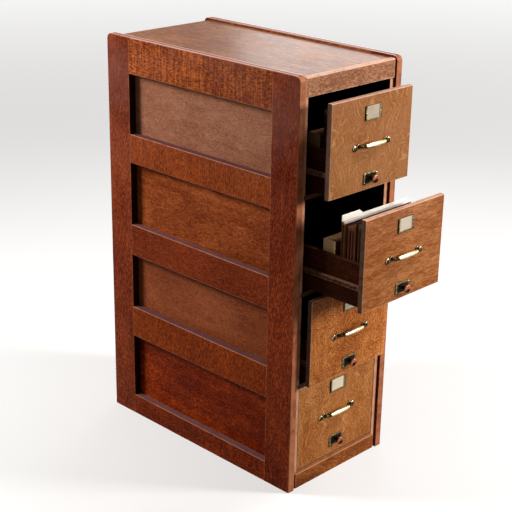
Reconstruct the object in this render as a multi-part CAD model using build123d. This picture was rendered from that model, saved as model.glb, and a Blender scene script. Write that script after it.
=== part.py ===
from build123d import *
import os

os.makedirs("parts", exist_ok=True)

# A four-drawer oak cabinet for letter files, with open frames over panelled sides.
# Sizes are in millimetres. X runs across the cabinet, Y from front to back and Z up.
# The origin is on the floor, at the centre of the cabinet's footprint.

# How far each drawer stands open, from the top drawer to the bottom one
DRAWER_OPENINGS = (87.6, 228.0, 40.1, 0.0)

# Drawer fronts and the gaps round them
FRONT_WIDTH = 359.0
FRONT_HEIGHT = 281.0
FRONT_THICKNESS = 16.0
FRONT_SIDE_GAP = 1.5
FRONT_LEVEL_GAP = 3.4
TOP_DRAWER_GAP = 5.4
FRONT_EASING = 1.5

# Carcass: corner posts, rails between the drawers, floor, top and back
POST_THICKNESS = 16.0
POST_DEPTH = 40.0
POST_SETBACK = 8.0
DIVIDER_THICKNESS = 15.0
DIVIDER_EASING = 0.75
HOUSING_DEPTH = 6.0
PANEL_THICKNESS = 6.0
PANEL_REBATE = 10.0
FLOOR_THICKNESS = 7.4
TOP_THICKNESS = 16.0
TOP_LIP = 6.5
TOP_RAIL_HEIGHT = 57.9
TOP_RAIL_THICKNESS = 16.0
TOP_RAIL_END_GAP = 2.0
TOP_RAIL_ROUND = 5.0
RAIL_PROJECTION = 4.0
PLINTH_HEIGHT = 50.0
PLINTH_THICKNESS = 16.0
PLINTH_END_GAP = 9.0
PLINTH_ROUND = 3.0
BEARER_THICKNESS = 16.0
BACK_RAIL_THICKNESS = 16.0
BACK_RAIL_HEIGHT = 70.0
BACK_PANEL_THICKNESS = 6.0
BACK_PANEL_INSET = 5.0
BACK_SETBACK = 25.0

# Open frames that stand outside the carcass
FRAME_THICKNESS = 25.0
FRAME_GAP = 3.0
STILE_WIDTH = 105.0
STILE_CORNER = 18.0
FRAME_EASING = 1.6
OPENING_EASING = 1.2
BOTTOM_FRAME_RAIL = 71.0
TOP_FRAME_RAIL = 116.0
MIDDLE_FRAME_RAILS = (108.0, 107.0, 96.0)
MIDDLE_RAIL_SHIFTS = (-2.7, -10.0, 0.7)
TENON_LENGTH = 55.0
TENON_THICKNESS = 9.0
TENON_SHOULDER = 12.0
GLUE_GAP = 0.1
DOWEL_RADIUS = 4.0
DOWEL_COLLAR_RADIUS = 9.0
DOWEL_SIDES = 8
DOWEL_IN_FRAME = 14.0
DOWEL_IN_POST = 10.0

# Drawer boxes
DRAWER_LENGTH = 785.0
DRAWER_REAR_GAP = 6.0
SIDE_INSET = 14.5
SIDE_THICKNESS = 12.0
SIDE_RISE = 8.0
SIDE_HEIGHT = 132.0
BACK_THICKNESS = 12.0
BOTTOM_THICKNESS = 7.0
BOTTOM_RISE = 7.0
BOTTOM_GROOVE = 5.0
DOVETAIL_COUNT = 4
DOVETAIL_NECK = 15.0
DOVETAIL_FLARE = 2.5
FRONT_TONGUE_DEPTH = 8.0
FRONT_TONGUE_ROOT = 7.0
FRONT_TONGUE_TIP = 11.0

# Runner bars on the drawers and the grooved guides that carry them
RUNNER_RISE = 63.0
RUNNER_HEIGHT = 14.0
RUNNER_WIDTH = 12.0
RUNNER_CLEARANCE = 0.3
RUNNER_END_CLEARANCE = 1.0
GUIDE_FACE_GAP = 2.0
GUIDE_LIP = 12.0
GUIDE_GROOVE_FLOOR = 3.0
GUIDE_SETBACK = 3.0

# Follower block that holds the folders up, and its slot in the drawer's bottom
FOLLOWER_FRONTS = (66.0, 133.0, 300.0, 560.0)
FOLLOWER_THICKNESS = 46.0
FOLLOWER_HEIGHT = 155.0
FOLLOWER_SIDE_GAP = 3.0
FOLLOWER_CLEARANCE = 0.3
FOLLOWER_ROUND = 4.0
KEEL_WIDTH = 12.0
KEEL_SETBACK = 3.0
KEEL_FOOT_WIDTH = 30.0
KEEL_FOOT_THICKNESS = 3.5
SLOT_START = 26.0
SLOT_END_MARGIN = 4.0

# Folders in the two upper drawers: thickness and height of each one, from front to back
FOLDER_ROWS = (
    ((8.0, 228.0), (6.0, 230.0), (9.0, 226.0), (7.0, 230.0)),
    ((7.0, 236.0), (7.0, 232.0), (12.0, 228.0), (11.0, 230.0), (4.0, 214.0), (10.0, 214.0), (10.0, 212.0),
     (10.0, 214.0), (4.0, 216.0), (14.0, 228.0)),
)
FOLDERS_START = 24.0
FOLDER_SIDE_GAP = 4.0
PAPER_INSET = 6.0
PAPER_DROP = 10.0
LEAF_THICKNESS = 0.8
FRONT_LEAF_DROP = 4.0

# The one tab, on the rearmost folder of the second drawer
TABBED_DRAWER = 1
TAB_HEIGHT = 12.0
TAB_WIDTH = 76.0
TAB_SLOPE = 16.0

# Pull
PULL_HEIGHT = 139.0
PULL_SCREW_HALF_SPAN = 75.0
PULL_SCREW_DROP = 5.0
PULL_LOBE_HALF_SPAN = 61.0
GRIP_HALF_LENGTH = 48.0
GRIP_STANDOFF = 15.0
GRIP_MIDDLE_RADIUS = 7.6
GRIP_END_RADIUS = 4.4
ARM_END_RADIUS = 3.6
ARM_END_IN_GRIP = 4.0
ROSETTE_RADIUS = 9.5
ROSETTE_THICKNESS = 3.2
ROSETTE_RIM = 2.6
ROSETTE_RECESS = 1.4
LOBE_RADIUS = 8.0
LOBE_THICKNESS = 4.0
ARM_ROOT_RADIUS = 6.0

# Label holder and its card
HOLDER_DROP = 29.0
HOLDER_WIDTH = 70.0
HOLDER_HEIGHT = 43.0
HOLDER_THICKNESS = 3.0
HOLDER_CORNER = 2.0
HOLDER_BACK = 1.0
HOLDER_FLANGE = 7.0
HOLDER_LIP = 4.0
CARD_THICKNESS = 0.6
CARD_SLOT = 0.8
CARD_OVERLAP = 1.5
CARD_STANDS_BELOW_TOP = 1.0

# Turn latch: plate, knob, spindle and the tongue behind the front
LATCH_HEIGHT = 34.5
BOTTOM_DRAWER_HARDWARE_LIFT = 11.0
PLATE_WIDTH = 62.0
PLATE_HEIGHT = 34.0
PLATE_THICKNESS = 3.0
PLATE_BEVEL = 1.0
SPINDLE_RADIUS = 4.0
SPINDLE_CLEARANCE = 0.1
KNOB_RADIUS = 12.5
KNOB_PROJECTION = 22.0
KNOB_DOME = 4.5
KNOB_RIM = 2.0
KNOB_NECK_RADIUS = 5.0
KNOB_UNDERSIDE = 4.0
KNOB_SHOULDER_GAP = 0.3
TONGUE_GAP = 2.0
TONGUE_THICKNESS = 3.0
TONGUE_WIDTH = 10.0
TONGUE_CATCH = 6.0
TONGUE_CLEARANCE = 1.5
NUT_RADIUS = 6.5
NUT_THICKNESS = 2.5

# Widths that follow from the drawer fronts, measured from the middle
bay_half = FRONT_WIDTH / 2 + FRONT_SIDE_GAP
carcass_half = bay_half + POST_THICKNESS
frame_inside = carcass_half + FRAME_GAP
frame_outside = frame_inside + FRAME_THICKNESS

# Depths that follow from the drawers' length
case_depth = POST_SETBACK + DRAWER_LENGTH + DRAWER_REAR_GAP + BACK_RAIL_THICKNESS + BACK_SETBACK
frame_front = -case_depth / 2
frame_back = case_depth / 2
carcass_front = frame_front + POST_SETBACK
carcass_back = frame_back - BACK_SETBACK
rail_front = carcass_front - RAIL_PROJECTION
closed_back = carcass_front + FRONT_THICKNESS
back_rail_front = carcass_back - BACK_RAIL_THICKNESS

# Heights that follow from the stack of drawers
drawer_count = len(DRAWER_OPENINGS)
floor_top = PLINTH_HEIGHT + FLOOR_THICKNESS
bay_pitch = FRONT_HEIGHT + DIVIDER_THICKNESS + 2 * FRONT_LEVEL_GAP
drawer_bottoms = [floor_top + FRONT_LEVEL_GAP + bay_pitch * (drawer_count - 1 - n)
                  for n in range(drawer_count)]
divider_bottoms = [bottom - FRONT_LEVEL_GAP - DIVIDER_THICKNESS for bottom in drawer_bottoms[:-1]]
top_rail_bottom = drawer_bottoms[0] + FRONT_HEIGHT + TOP_DRAWER_GAP
carcass_top = top_rail_bottom + TOP_RAIL_HEIGHT
top_board_bottom = carcass_top - TOP_THICKNESS
case_height = carcass_top + TOP_LIP

# Places inside a drawer, measured from its front plane, its middle and its lower edge
side_outside = FRONT_WIDTH / 2 - SIDE_INSET
side_inside = side_outside - SIDE_THICKNESS
side_top = SIDE_RISE + SIDE_HEIGHT
bottom_under = SIDE_RISE + BOTTOM_RISE
bottom_top = bottom_under + BOTTOM_THICKNESS
back_inside = DRAWER_LENGTH - BACK_THICKNESS
tongue_front = FRONT_THICKNESS + TONGUE_GAP
tongue_back = tongue_front + TONGUE_THICKNESS


def board(across, deep, up):
    """A straight board between two positions along each axis."""
    spans = (across, deep, up)
    middle = [(low + high) / 2 for low, high in spans]
    size = [high - low for low, high in spans]
    return Pos(*middle) * Box(*size)


def centred(half):
    """The span of something as wide on the left as on the right."""
    return (-half, half)


def disc(radius, start, end, x, z):
    """A round of a given radius about a line along Y, between two depths."""
    return Pos(x, (start + end) / 2, z) * Rot(90, 0, 0) * Cylinder(radius, end - start)


def both_sides(solid):
    """A piece of the right side with its mirror image on the left."""
    return [solid, mirror(solid, about=Plane.YZ)]


def ease(solid, edges, radius):
    """Rounds the chosen edges of a piece."""
    return fillet(edges, radius) if edges else solid


def bevel(solid, edges, width):
    """Planes a narrow bevel along the chosen edges of a piece."""
    return chamfer(edges, width) if edges else solid


def edges_along(solid, axis, **places):
    """Edges parallel to an axis whose centre lies at the given X, Y or Z."""
    chosen = solid.edges().filter_by(axis)
    return [edge for edge in chosen
            if all(abs(getattr(edge.center(), name) - place) < 0.01 for name, place in places.items())]


def save(node, *pieces):
    """Writes the separate solids of one kind of piece."""
    solids = [solid for piece in pieces for solid in piece.solids()]
    export_step(Compound(solids), f"parts/{node}.step")


# Open frames of the two sides

def frame_rail_spans():
    """Lower and upper edge of each rail of a side frame, from the floor up."""
    spans = [(0, BOTTOM_FRAME_RAIL)]
    dividers = sorted(bottom + DIVIDER_THICKNESS / 2 for bottom in divider_bottoms)
    for centre, shift, height in zip(dividers, MIDDLE_RAIL_SHIFTS, MIDDLE_FRAME_RAILS):
        spans.append((centre + shift - height / 2, centre + shift + height / 2))
    spans.append((case_height - TOP_FRAME_RAIL, case_height))
    return spans


def frame_tenon(low, high, slack=0.0):
    """The tongue that runs from one end of a rail to the other and into both stiles."""
    middle = (frame_inside + frame_outside) / 2
    half = TENON_THICKNESS / 2 + slack
    reach = frame_back - STILE_WIDTH + TENON_LENGTH + slack
    return board((middle - half, middle + half), centred(reach),
                 (low + TENON_SHOULDER - slack, high - TENON_SHOULDER + slack))


def frame_stile():
    """The front stile of the right side frame, with mortises for its rails."""
    outline = board((frame_inside, frame_outside), (frame_front, frame_front + STILE_WIDTH), (0, case_height))
    corner = edges_along(outline, Axis.X, Y=frame_front, Z=case_height)
    stile = ease(outline, corner, STILE_CORNER)
    inner_edge = frame_front + STILE_WIDTH
    face_edges = [edge for edge in stile.edges()
                  if abs(edge.center().X - frame_outside) < 0.01 and edge.center().Z > 1
                  and abs(edge.center().Y - inner_edge) > 0.01]
    stile = bevel(stile, face_edges, FRAME_EASING)
    for low, high in frame_rail_spans():
        stile -= frame_tenon(low, high, GLUE_GAP)
    return stile


def frame_stiles():
    """The front and rear stile of the right side frame, bored for their dowels."""
    front = frame_stile()
    stiles = [front, mirror(front, about=Plane.XZ)]
    for y, z in dowel_places():
        hole = frame_dowel(y, z, GLUE_GAP)
        stiles = [stile - hole for stile in stiles]
    return stiles


def frame_rail(low, high):
    """One rail of the right side frame, tenoned at both ends."""
    reach = frame_back - STILE_WIDTH
    rail = board((frame_inside, frame_outside), centred(reach), (low, high))
    for edge_height in (low, high):
        if edge_height == case_height:
            edges = edges_along(rail, Axis.Y, X=frame_outside, Z=edge_height)
            edges += edges_along(rail, Axis.Y, X=frame_inside, Z=edge_height)
            rail = bevel(rail, edges, FRAME_EASING)
        elif edge_height > 0:
            edges = edges_along(rail, Axis.Y, X=frame_outside, Z=edge_height)
            rail = bevel(rail, edges, OPENING_EASING)
    return rail + frame_tenon(low, high)


def frame_dowel(y, z, slack=0.0):
    """An eight-sided dowel whose collar keeps the frame clear of the carcass."""
    start = carcass_half - DOWEL_IN_POST - slack
    end = frame_inside + DOWEL_IN_FRAME + slack
    pin = extrude(Plane.YZ * RegularPolygon(DOWEL_RADIUS + slack, DOWEL_SIDES), end - start)
    if slack:
        return Pos(start, y, z) * pin
    collar = extrude(Plane.YZ * RegularPolygon(DOWEL_COLLAR_RADIUS, DOWEL_SIDES), FRAME_GAP)
    return Pos(start, y, z) * pin + Pos(carcass_half, y, z) * collar


def dowel_places():
    """Depth and height of the dowels that hold a side frame to the posts."""
    spans = frame_rail_spans()
    heights = [sum(spans[n]) / 2 for n in (0, len(spans) // 2, -1)]
    return [(y, z) for y in (carcass_front + POST_DEPTH / 2, carcass_back - POST_DEPTH / 2) for z in heights]


# Carcass

def side_panels():
    """The thin boards that fill the right side between its posts, one behind each opening."""
    spans = frame_rail_spans()
    joints = [PLINTH_HEIGHT] + [sum(span) / 2 for span in spans[1:-1]] + [top_board_bottom]
    deep = (carcass_front + POST_DEPTH - PANEL_REBATE, carcass_back - POST_DEPTH + PANEL_REBATE)
    across = (carcass_half - PANEL_THICKNESS, carcass_half)
    return [board(across, deep, span) for span in zip(joints, joints[1:])]


def top_front_rail():
    """The rail over the top drawer, rounded along its upper front edge."""
    rail = board(centred(carcass_half - TOP_RAIL_END_GAP), (rail_front, rail_front + TOP_RAIL_THICKNESS),
                 (top_rail_bottom, carcass_top))
    return ease(rail, edges_along(rail, Axis.X, Y=rail_front, Z=carcass_top), TOP_RAIL_ROUND)


def top_board():
    """The top, which lies on the posts behind the front rail."""
    top = board(centred(carcass_half), (rail_front + TOP_RAIL_THICKNESS, carcass_back),
                (top_board_bottom, carcass_top))
    return bevel(top, edges_along(top, Axis.X, Y=carcass_back, Z=carcass_top), FRAME_EASING)


def divider_rail(bottom):
    """A rail between two drawers, flush with their fronts and housed in the posts."""
    rail = board(centred(bay_half + HOUSING_DEPTH), (carcass_front, closed_back),
                 (bottom, bottom + DIVIDER_THICKNESS))
    return bevel(rail, edges_along(rail, Axis.X, Y=carcass_front), DIVIDER_EASING)


def floor_board():
    """The floor of the lowest bay, with a slot that takes the lowest drawer's latch."""
    floor = board(centred(bay_half), (carcass_front, carcass_back), (PLINTH_HEIGHT, floor_top))
    reach = tongue_length(drawer_count - 1)
    depth_below_axis = latch_height(drawer_count - 1) + FRONT_LEVEL_GAP
    sweep = (reach ** 2 - depth_below_axis ** 2) ** 0.5
    deep = (carcass_front + tongue_front - TONGUE_CLEARANCE, carcass_front + tongue_back + TONGUE_CLEARANCE)
    slot = board((-TONGUE_WIDTH / 2 - TONGUE_CLEARANCE, sweep + TONGUE_WIDTH / 2 + TONGUE_CLEARANCE), deep,
                 (PLINTH_HEIGHT, floor_top))
    return floor - slot


def plinth():
    """The board under the lowest drawer, which stands on the floor."""
    front = board(centred(carcass_half - PLINTH_END_GAP), (rail_front, rail_front + PLINTH_THICKNESS),
                  (0, PLINTH_HEIGHT))
    return ease(front, edges_along(front, Axis.X, Y=rail_front, Z=PLINTH_HEIGHT), PLINTH_ROUND)


def bearer(middle):
    """A board on edge that carries the cabinet's floor."""
    deep = (middle - BEARER_THICKNESS / 2, middle + BEARER_THICKNESS / 2)
    return board(centred(bay_half), deep, (0, PLINTH_HEIGHT))


def back_panels():
    """The two thin boards that close the back, held in grooves round their edges."""
    face = carcass_back - BACK_PANEL_INSET
    spans = back_rail_spans()
    return [board(centred(bay_half + HOUSING_DEPTH), (face - BACK_PANEL_THICKNESS, face),
                  (below[1] - HOUSING_DEPTH, above[0] + HOUSING_DEPTH))
            for below, above in zip(spans, spans[1:])]


def back_rail_spans():
    """Lower and upper edge of the rails across the back."""
    middle = (floor_top + top_board_bottom - BACK_RAIL_HEIGHT) / 2
    starts = (floor_top, middle, top_board_bottom - BACK_RAIL_HEIGHT)
    return [(start, start + BACK_RAIL_HEIGHT) for start in starts]


def back_rails():
    """The three rails across the back, grooved for the panels between them."""
    rails = [board(centred(bay_half), (back_rail_front, carcass_back), span) for span in back_rail_spans()]
    for panel in back_panels():
        rails = [rail - panel for rail in rails]
    return rails


def corner_posts():
    """The front and rear post of the right side, cut out for what is housed in them."""
    up = (0, top_board_bottom)
    across = (bay_half, carcass_half)
    front = board(across, (carcass_front, carcass_front + POST_DEPTH), up)
    rear = board(across, (carcass_back - POST_DEPTH, carcass_back), up)
    housed = [top_front_rail(), plinth()] + [divider_rail(bottom) for bottom in divider_bottoms]
    housed += side_panels() + back_panels()
    housed += [frame_dowel(y, z, GLUE_GAP) for y, z in dowel_places()]
    for piece in housed:
        front -= piece
        rear -= piece
    return [front, rear]


def drawer_guide(drawer_bottom):
    """The grooved bar that carries one drawer's runner on the right side."""
    groove_low = drawer_bottom + RUNNER_RISE - RUNNER_CLEARANCE
    groove_high = drawer_bottom + RUNNER_RISE + RUNNER_HEIGHT + RUNNER_CLEARANCE
    inner = side_outside + GUIDE_FACE_GAP
    start = closed_back + GUIDE_SETBACK
    groove_end = carcass_front + DRAWER_LENGTH + RUNNER_END_CLEARANCE
    guide = board((inner, bay_half), (start, back_rail_front),
                  (groove_low - GUIDE_LIP, groove_high + GUIDE_LIP))
    groove = board((inner, bay_half - GUIDE_GROOVE_FLOOR), (start, groove_end), (groove_low, groove_high))
    return guide - groove


# Drawers, each built about the lower edge of its own front

def hardware_lift(drawer):
    """The lowest drawer carries its pull, label and latch higher than the others."""
    return BOTTOM_DRAWER_HARDWARE_LIFT if drawer == drawer_count - 1 else 0.0


def latch_height(drawer):
    """Height of the latch's spindle over the drawer front's lower edge."""
    return LATCH_HEIGHT + hardware_lift(drawer)


def tongue_length(drawer):
    """Reach of the latch's tongue, from its spindle to behind the rail under the drawer."""
    return latch_height(drawer) + FRONT_LEVEL_GAP + TONGUE_CATCH


def side_tongue(slack=0.0, low=SIDE_RISE):
    """The tapered tongue on a drawer side's front end."""
    middle = side_outside - SIDE_THICKNESS / 2
    root = FRONT_TONGUE_ROOT / 2 + slack
    tip = FRONT_TONGUE_TIP / 2 + slack
    front = FRONT_THICKNESS - FRONT_TONGUE_DEPTH - slack
    outline = Polyline((middle - root, FRONT_THICKNESS), (middle + root, FRONT_THICKNESS),
                       (middle + tip, front), (middle - tip, front), close=True)
    return Pos(0, 0, low) * extrude(make_face(outline), side_top + slack - low)


def side_dovetails(slack=0.0):
    """The tails on a drawer side's rear end, which lock into the drawer's back."""
    pitch = (side_top - bottom_top) / DOVETAIL_COUNT
    tails = []
    for n in range(DOVETAIL_COUNT):
        z = bottom_top + pitch * (n + 0.5)
        neck = DOVETAIL_NECK / 2 + slack
        flare = neck + DOVETAIL_FLARE
        outline = Polyline((back_inside, z - neck), (back_inside, z + neck), (DRAWER_LENGTH, z + flare),
                           (DRAWER_LENGTH, z - flare), close=True)
        tails.append(Pos(side_inside, 0, 0) * extrude(Plane.YZ * make_face(outline), SIDE_THICKNESS))
    return tails


def drawer_bottom_board(drawer):
    """The bottom board, slotted for the follower and notched for the latch's tongue."""
    reach = side_inside + BOTTOM_GROOVE
    base = board(centred(reach), (FRONT_THICKNESS - BOTTOM_GROOVE, DRAWER_LENGTH),
                 (bottom_under, bottom_top))
    slot_end = back_inside - SLOT_END_MARGIN
    slot = board(centred(KEEL_WIDTH / 2), (SLOT_START, slot_end), (bottom_under, bottom_top))
    entry = board(centred(KEEL_FOOT_WIDTH / 2 + TONGUE_CLEARANCE),
                  (slot_end - FOLLOWER_THICKNESS, slot_end), (bottom_under, bottom_top))
    notch = board((-TONGUE_WIDTH / 2 - TONGUE_CLEARANCE, tongue_length(drawer) + TONGUE_CLEARANCE),
                  (FRONT_THICKNESS - BOTTOM_GROOVE, tongue_back + TONGUE_CLEARANCE),
                  (bottom_under, bottom_top))
    return base - slot - entry - notch


def drawer_front(drawer):
    """The front board, housed for the sides and the bottom and bored for the latch."""
    front = board(centred(FRONT_WIDTH / 2), (0, FRONT_THICKNESS), (0, FRONT_HEIGHT))
    front = bevel(front, front.faces().sort_by(Axis.Y)[0].edges(), FRONT_EASING)
    for tongue in both_sides(side_tongue(GLUE_GAP, 0)):
        front -= tongue
    front -= board(centred(side_inside + BOTTOM_GROOVE), (FRONT_THICKNESS - BOTTOM_GROOVE, FRONT_THICKNESS),
                   (bottom_under, bottom_top))
    return front - disc(SPINDLE_RADIUS + SPINDLE_CLEARANCE, 0, FRONT_THICKNESS, 0, latch_height(drawer))


def drawer_side():
    """The right side of a drawer, dovetailed at the back and grooved for the bottom."""
    across = (side_inside, side_outside)
    side = board(across, (FRONT_THICKNESS, back_inside), (SIDE_RISE, side_top))
    side += board(across, (back_inside, DRAWER_LENGTH), (SIDE_RISE, bottom_top))
    side += side_tongue()
    for tail in side_dovetails():
        side += tail
    groove = board((side_inside, side_inside + BOTTOM_GROOVE), (0, DRAWER_LENGTH),
                   (bottom_under, bottom_top))
    return side - groove


def drawer_back():
    """The back of a drawer, which stands on the bottom board."""
    back = board(centred(side_outside), (back_inside, DRAWER_LENGTH), (bottom_top, side_top))
    for tail in side_dovetails(GLUE_GAP):
        for cut in both_sides(tail):
            back -= cut
    return back


def runner_bar():
    """The bar along the outside of a drawer's right side."""
    return board((side_outside, side_outside + RUNNER_WIDTH), (FRONT_THICKNESS, DRAWER_LENGTH),
                 (RUNNER_RISE, RUNNER_RISE + RUNNER_HEIGHT))


def follower(start):
    """The block behind the folders, on a keel that slides in the bottom's slot."""
    base = bottom_top + FOLLOWER_CLEARANCE
    block = board(centred(side_inside - FOLLOWER_SIDE_GAP), (start, start + FOLLOWER_THICKNESS),
                  (base, bottom_top + FOLLOWER_HEIGHT))
    block = ease(block, block.edges().filter_by(Axis.X).sort_by(Axis.Z)[-2:], FOLLOWER_ROUND)
    deep = (start + KEEL_SETBACK, start + FOLLOWER_THICKNESS - KEEL_SETBACK)
    foot_top = bottom_under - FOLLOWER_CLEARANCE
    keel = board(centred(KEEL_WIDTH / 2 - FOLLOWER_CLEARANCE), deep, (foot_top - KEEL_FOOT_THICKNESS, base))
    foot = board(centred(KEEL_FOOT_WIDTH / 2), deep, (foot_top - KEEL_FOOT_THICKNESS, foot_top))
    return block + keel + foot


def folder(start, thickness, height):
    """One filled folder: papers between two leaves, of which the front one is lower."""
    leaf_top = bottom_top + height
    half = side_inside - FOLDER_SIDE_GAP
    rear = start + thickness
    papers = board(centred(half - PAPER_INSET), (start, rear), (bottom_top, leaf_top - PAPER_DROP))
    front_leaf = board(centred(half), (start, start + LEAF_THICKNESS),
                       (bottom_top, leaf_top - FRONT_LEAF_DROP))
    rear_leaf = board(centred(half), (rear - LEAF_THICKNESS, rear), (bottom_top, leaf_top))
    return papers + front_leaf + rear_leaf


def folder_tab(rear, foot):
    """The tab at the left of a folder's rear leaf, with one sloping shoulder."""
    left = FOLDER_SIDE_GAP - side_inside
    right = left + TAB_WIDTH
    outline = Polyline((left, foot), (right + TAB_SLOPE, foot), (right, foot + TAB_HEIGHT),
                       (left, foot + TAB_HEIGHT), close=True)
    return Pos(0, rear, 0) * extrude(Plane.XZ * make_face(outline), LEAF_THICKNESS)


def folder_row(drawer):
    """Folders standing face to face, the rearmost of them with a tab if the drawer has one."""
    row = []
    start = FOLDERS_START
    for thickness, height in FOLDER_ROWS[drawer]:
        row.append(folder(start, thickness, height))
        start += thickness
    if drawer == TABBED_DRAWER:
        last_height = FOLDER_ROWS[drawer][-1][1]
        row[-1] += folder_tab(start, bottom_top + last_height)
    return row


def pull_arm(side, height):
    """One end of the pull: a ringed foot for the screw, a lobe, and the arm out to the grip."""
    screw_x = side * PULL_SCREW_HALF_SPAN
    lobe_x = side * PULL_LOBE_HALF_SPAN
    foot = disc(ROSETTE_RADIUS, -ROSETTE_THICKNESS, 0, screw_x, height - PULL_SCREW_DROP)
    recess = disc(ROSETTE_RADIUS - ROSETTE_RIM, -ROSETTE_THICKNESS, -ROSETTE_THICKNESS + ROSETTE_RECESS,
                  screw_x, height - PULL_SCREW_DROP)
    lobe = disc(LOBE_RADIUS, -LOBE_THICKNESS, 0, lobe_x, height)
    tip = Vector(side * (GRIP_HALF_LENGTH - ARM_END_IN_GRIP), -GRIP_STANDOFF, height)
    root = Vector(lobe_x, -LOBE_THICKNESS / 2, height)
    course = tip - root
    arm = Plane((root + tip) / 2, z_dir=course) * Cone(ARM_ROOT_RADIUS, ARM_END_RADIUS, course.length)
    behind = board((lobe_x - ROSETTE_RADIUS, lobe_x + ROSETTE_RADIUS), (0, FRONT_THICKNESS),
                   (height - ROSETTE_RADIUS, height + ROSETTE_RADIUS))
    return foot - recess + lobe + (arm - behind)


def pull(drawer):
    """The cast pull: a swelling round grip held off the front on two arms."""
    height = PULL_HEIGHT + hardware_lift(drawer)
    swell = ThreePointArc((-GRIP_HALF_LENGTH, GRIP_END_RADIUS), (0, GRIP_MIDDLE_RADIUS),
                          (GRIP_HALF_LENGTH, GRIP_END_RADIUS))
    ends = Polyline((GRIP_HALF_LENGTH, GRIP_END_RADIUS), (GRIP_HALF_LENGTH, 0), (-GRIP_HALF_LENGTH, 0),
                    (-GRIP_HALF_LENGTH, GRIP_END_RADIUS))
    grip = Pos(0, -GRIP_STANDOFF, height) * revolve(make_face(swell + ends), Axis.X)
    return grip + pull_arm(-1, height) + pull_arm(1, height)


def holder_bottom(drawer):
    """Height of the label holder's lower edge on its drawer front."""
    return FRONT_HEIGHT - HOLDER_DROP - HOLDER_HEIGHT + hardware_lift(drawer)


def label_holder(drawer):
    """The holder: a back plate with a lip round three sides, open at the top for the card."""
    low = holder_bottom(drawer)
    high = low + HOLDER_HEIGHT
    window = HOLDER_WIDTH / 2 - HOLDER_FLANGE
    lip_front = -HOLDER_BACK - CARD_SLOT
    holder = board(centred(HOLDER_WIDTH / 2), (-HOLDER_THICKNESS, 0), (low, high))
    holder = ease(holder, holder.edges().filter_by(Axis.Y), HOLDER_CORNER)
    holder -= board(centred(window), (-HOLDER_THICKNESS, lip_front), (low + HOLDER_LIP, high))
    return holder - board(centred(window + CARD_OVERLAP), (lip_front, -HOLDER_BACK),
                          (low + HOLDER_LIP - CARD_OVERLAP, high))


def label_card(drawer):
    """The paper card that stands in the holder."""
    low = holder_bottom(drawer)
    half = HOLDER_WIDTH / 2 - HOLDER_FLANGE + CARD_OVERLAP - GLUE_GAP
    return board(centred(half), (-HOLDER_BACK - CARD_THICKNESS, -HOLDER_BACK),
                 (low + HOLDER_LIP - CARD_OVERLAP, low + HOLDER_HEIGHT - CARD_STANDS_BELOW_TOP))


def latch_plate(drawer):
    """The plate behind the latch's knob."""
    height = latch_height(drawer)
    plate = board(centred(PLATE_WIDTH / 2), (-PLATE_THICKNESS, 0),
                  (height - PLATE_HEIGHT / 2, height + PLATE_HEIGHT / 2))
    plate = chamfer(plate.faces().sort_by(Axis.Y)[0].edges(), PLATE_BEVEL)
    return plate - disc(SPINDLE_RADIUS + SPINDLE_CLEARANCE, -PLATE_THICKNESS, 0, 0, height)


def latch_knob(drawer):
    """The turned knob with its spindle, the nut behind, and the tongue that catches the rail."""
    shoulder = -PLATE_THICKNESS - KNOB_SHOULDER_GAP
    face = -PLATE_THICKNESS - KNOB_PROJECTION
    rim_front = face + KNOB_DOME
    rim_back = rim_front + KNOB_RIM
    end = tongue_back + NUT_THICKNESS
    dome = ThreePointArc((0, face), (KNOB_RADIUS * 0.6, face + KNOB_DOME * 0.3), (KNOB_RADIUS, rim_front))
    rest = Polyline((KNOB_RADIUS, rim_front), (KNOB_RADIUS, rim_back),
                    (KNOB_NECK_RADIUS, rim_back + KNOB_UNDERSIDE), (KNOB_NECK_RADIUS, shoulder),
                    (SPINDLE_RADIUS, shoulder), (SPINDLE_RADIUS, end), (0, end), (0, face))
    turned = Pos(0, 0, latch_height(drawer)) * revolve(make_face(dome + rest), Axis.Y)
    height = latch_height(drawer)
    half = TONGUE_WIDTH / 2
    tongue = board((-half, tongue_length(drawer)), (tongue_front, tongue_back),
                   (height - half, height + half))
    nut = Pos(0, end, height) * Rot(90, 0, 0) * extrude(RegularPolygon(NUT_RADIUS, 6), NUT_THICKNESS)
    return turned + tongue + nut


def mirrored(pieces):
    """Pieces of the right side, each with its mirror image on the left."""
    return [twin for piece in pieces for twin in both_sides(piece)]


# The case

save("frame_stiles", *mirrored(frame_stiles()))
save("frame_rails", *mirrored([frame_rail(low, high) for low, high in frame_rail_spans()]))
save("frame_dowels", *mirrored([frame_dowel(y, z) for y, z in dowel_places()]))
save("side_panels", *mirrored(side_panels()))
save("corner_posts", *mirrored(corner_posts()))
save("drawer_guides", *mirrored([drawer_guide(bottom) for bottom in drawer_bottoms]))
save("top_board", top_board())
save("top_front_rail", top_front_rail())
save("divider_rails", *[divider_rail(bottom) for bottom in divider_bottoms])
save("floor_board", floor_board())
save("base_rails", plinth(), bearer(0), bearer(carcass_back - BEARER_THICKNESS / 2))
save("back_rails", *back_rails())
save("back_panels", *back_panels())

# The drawers, from the top one down

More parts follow.
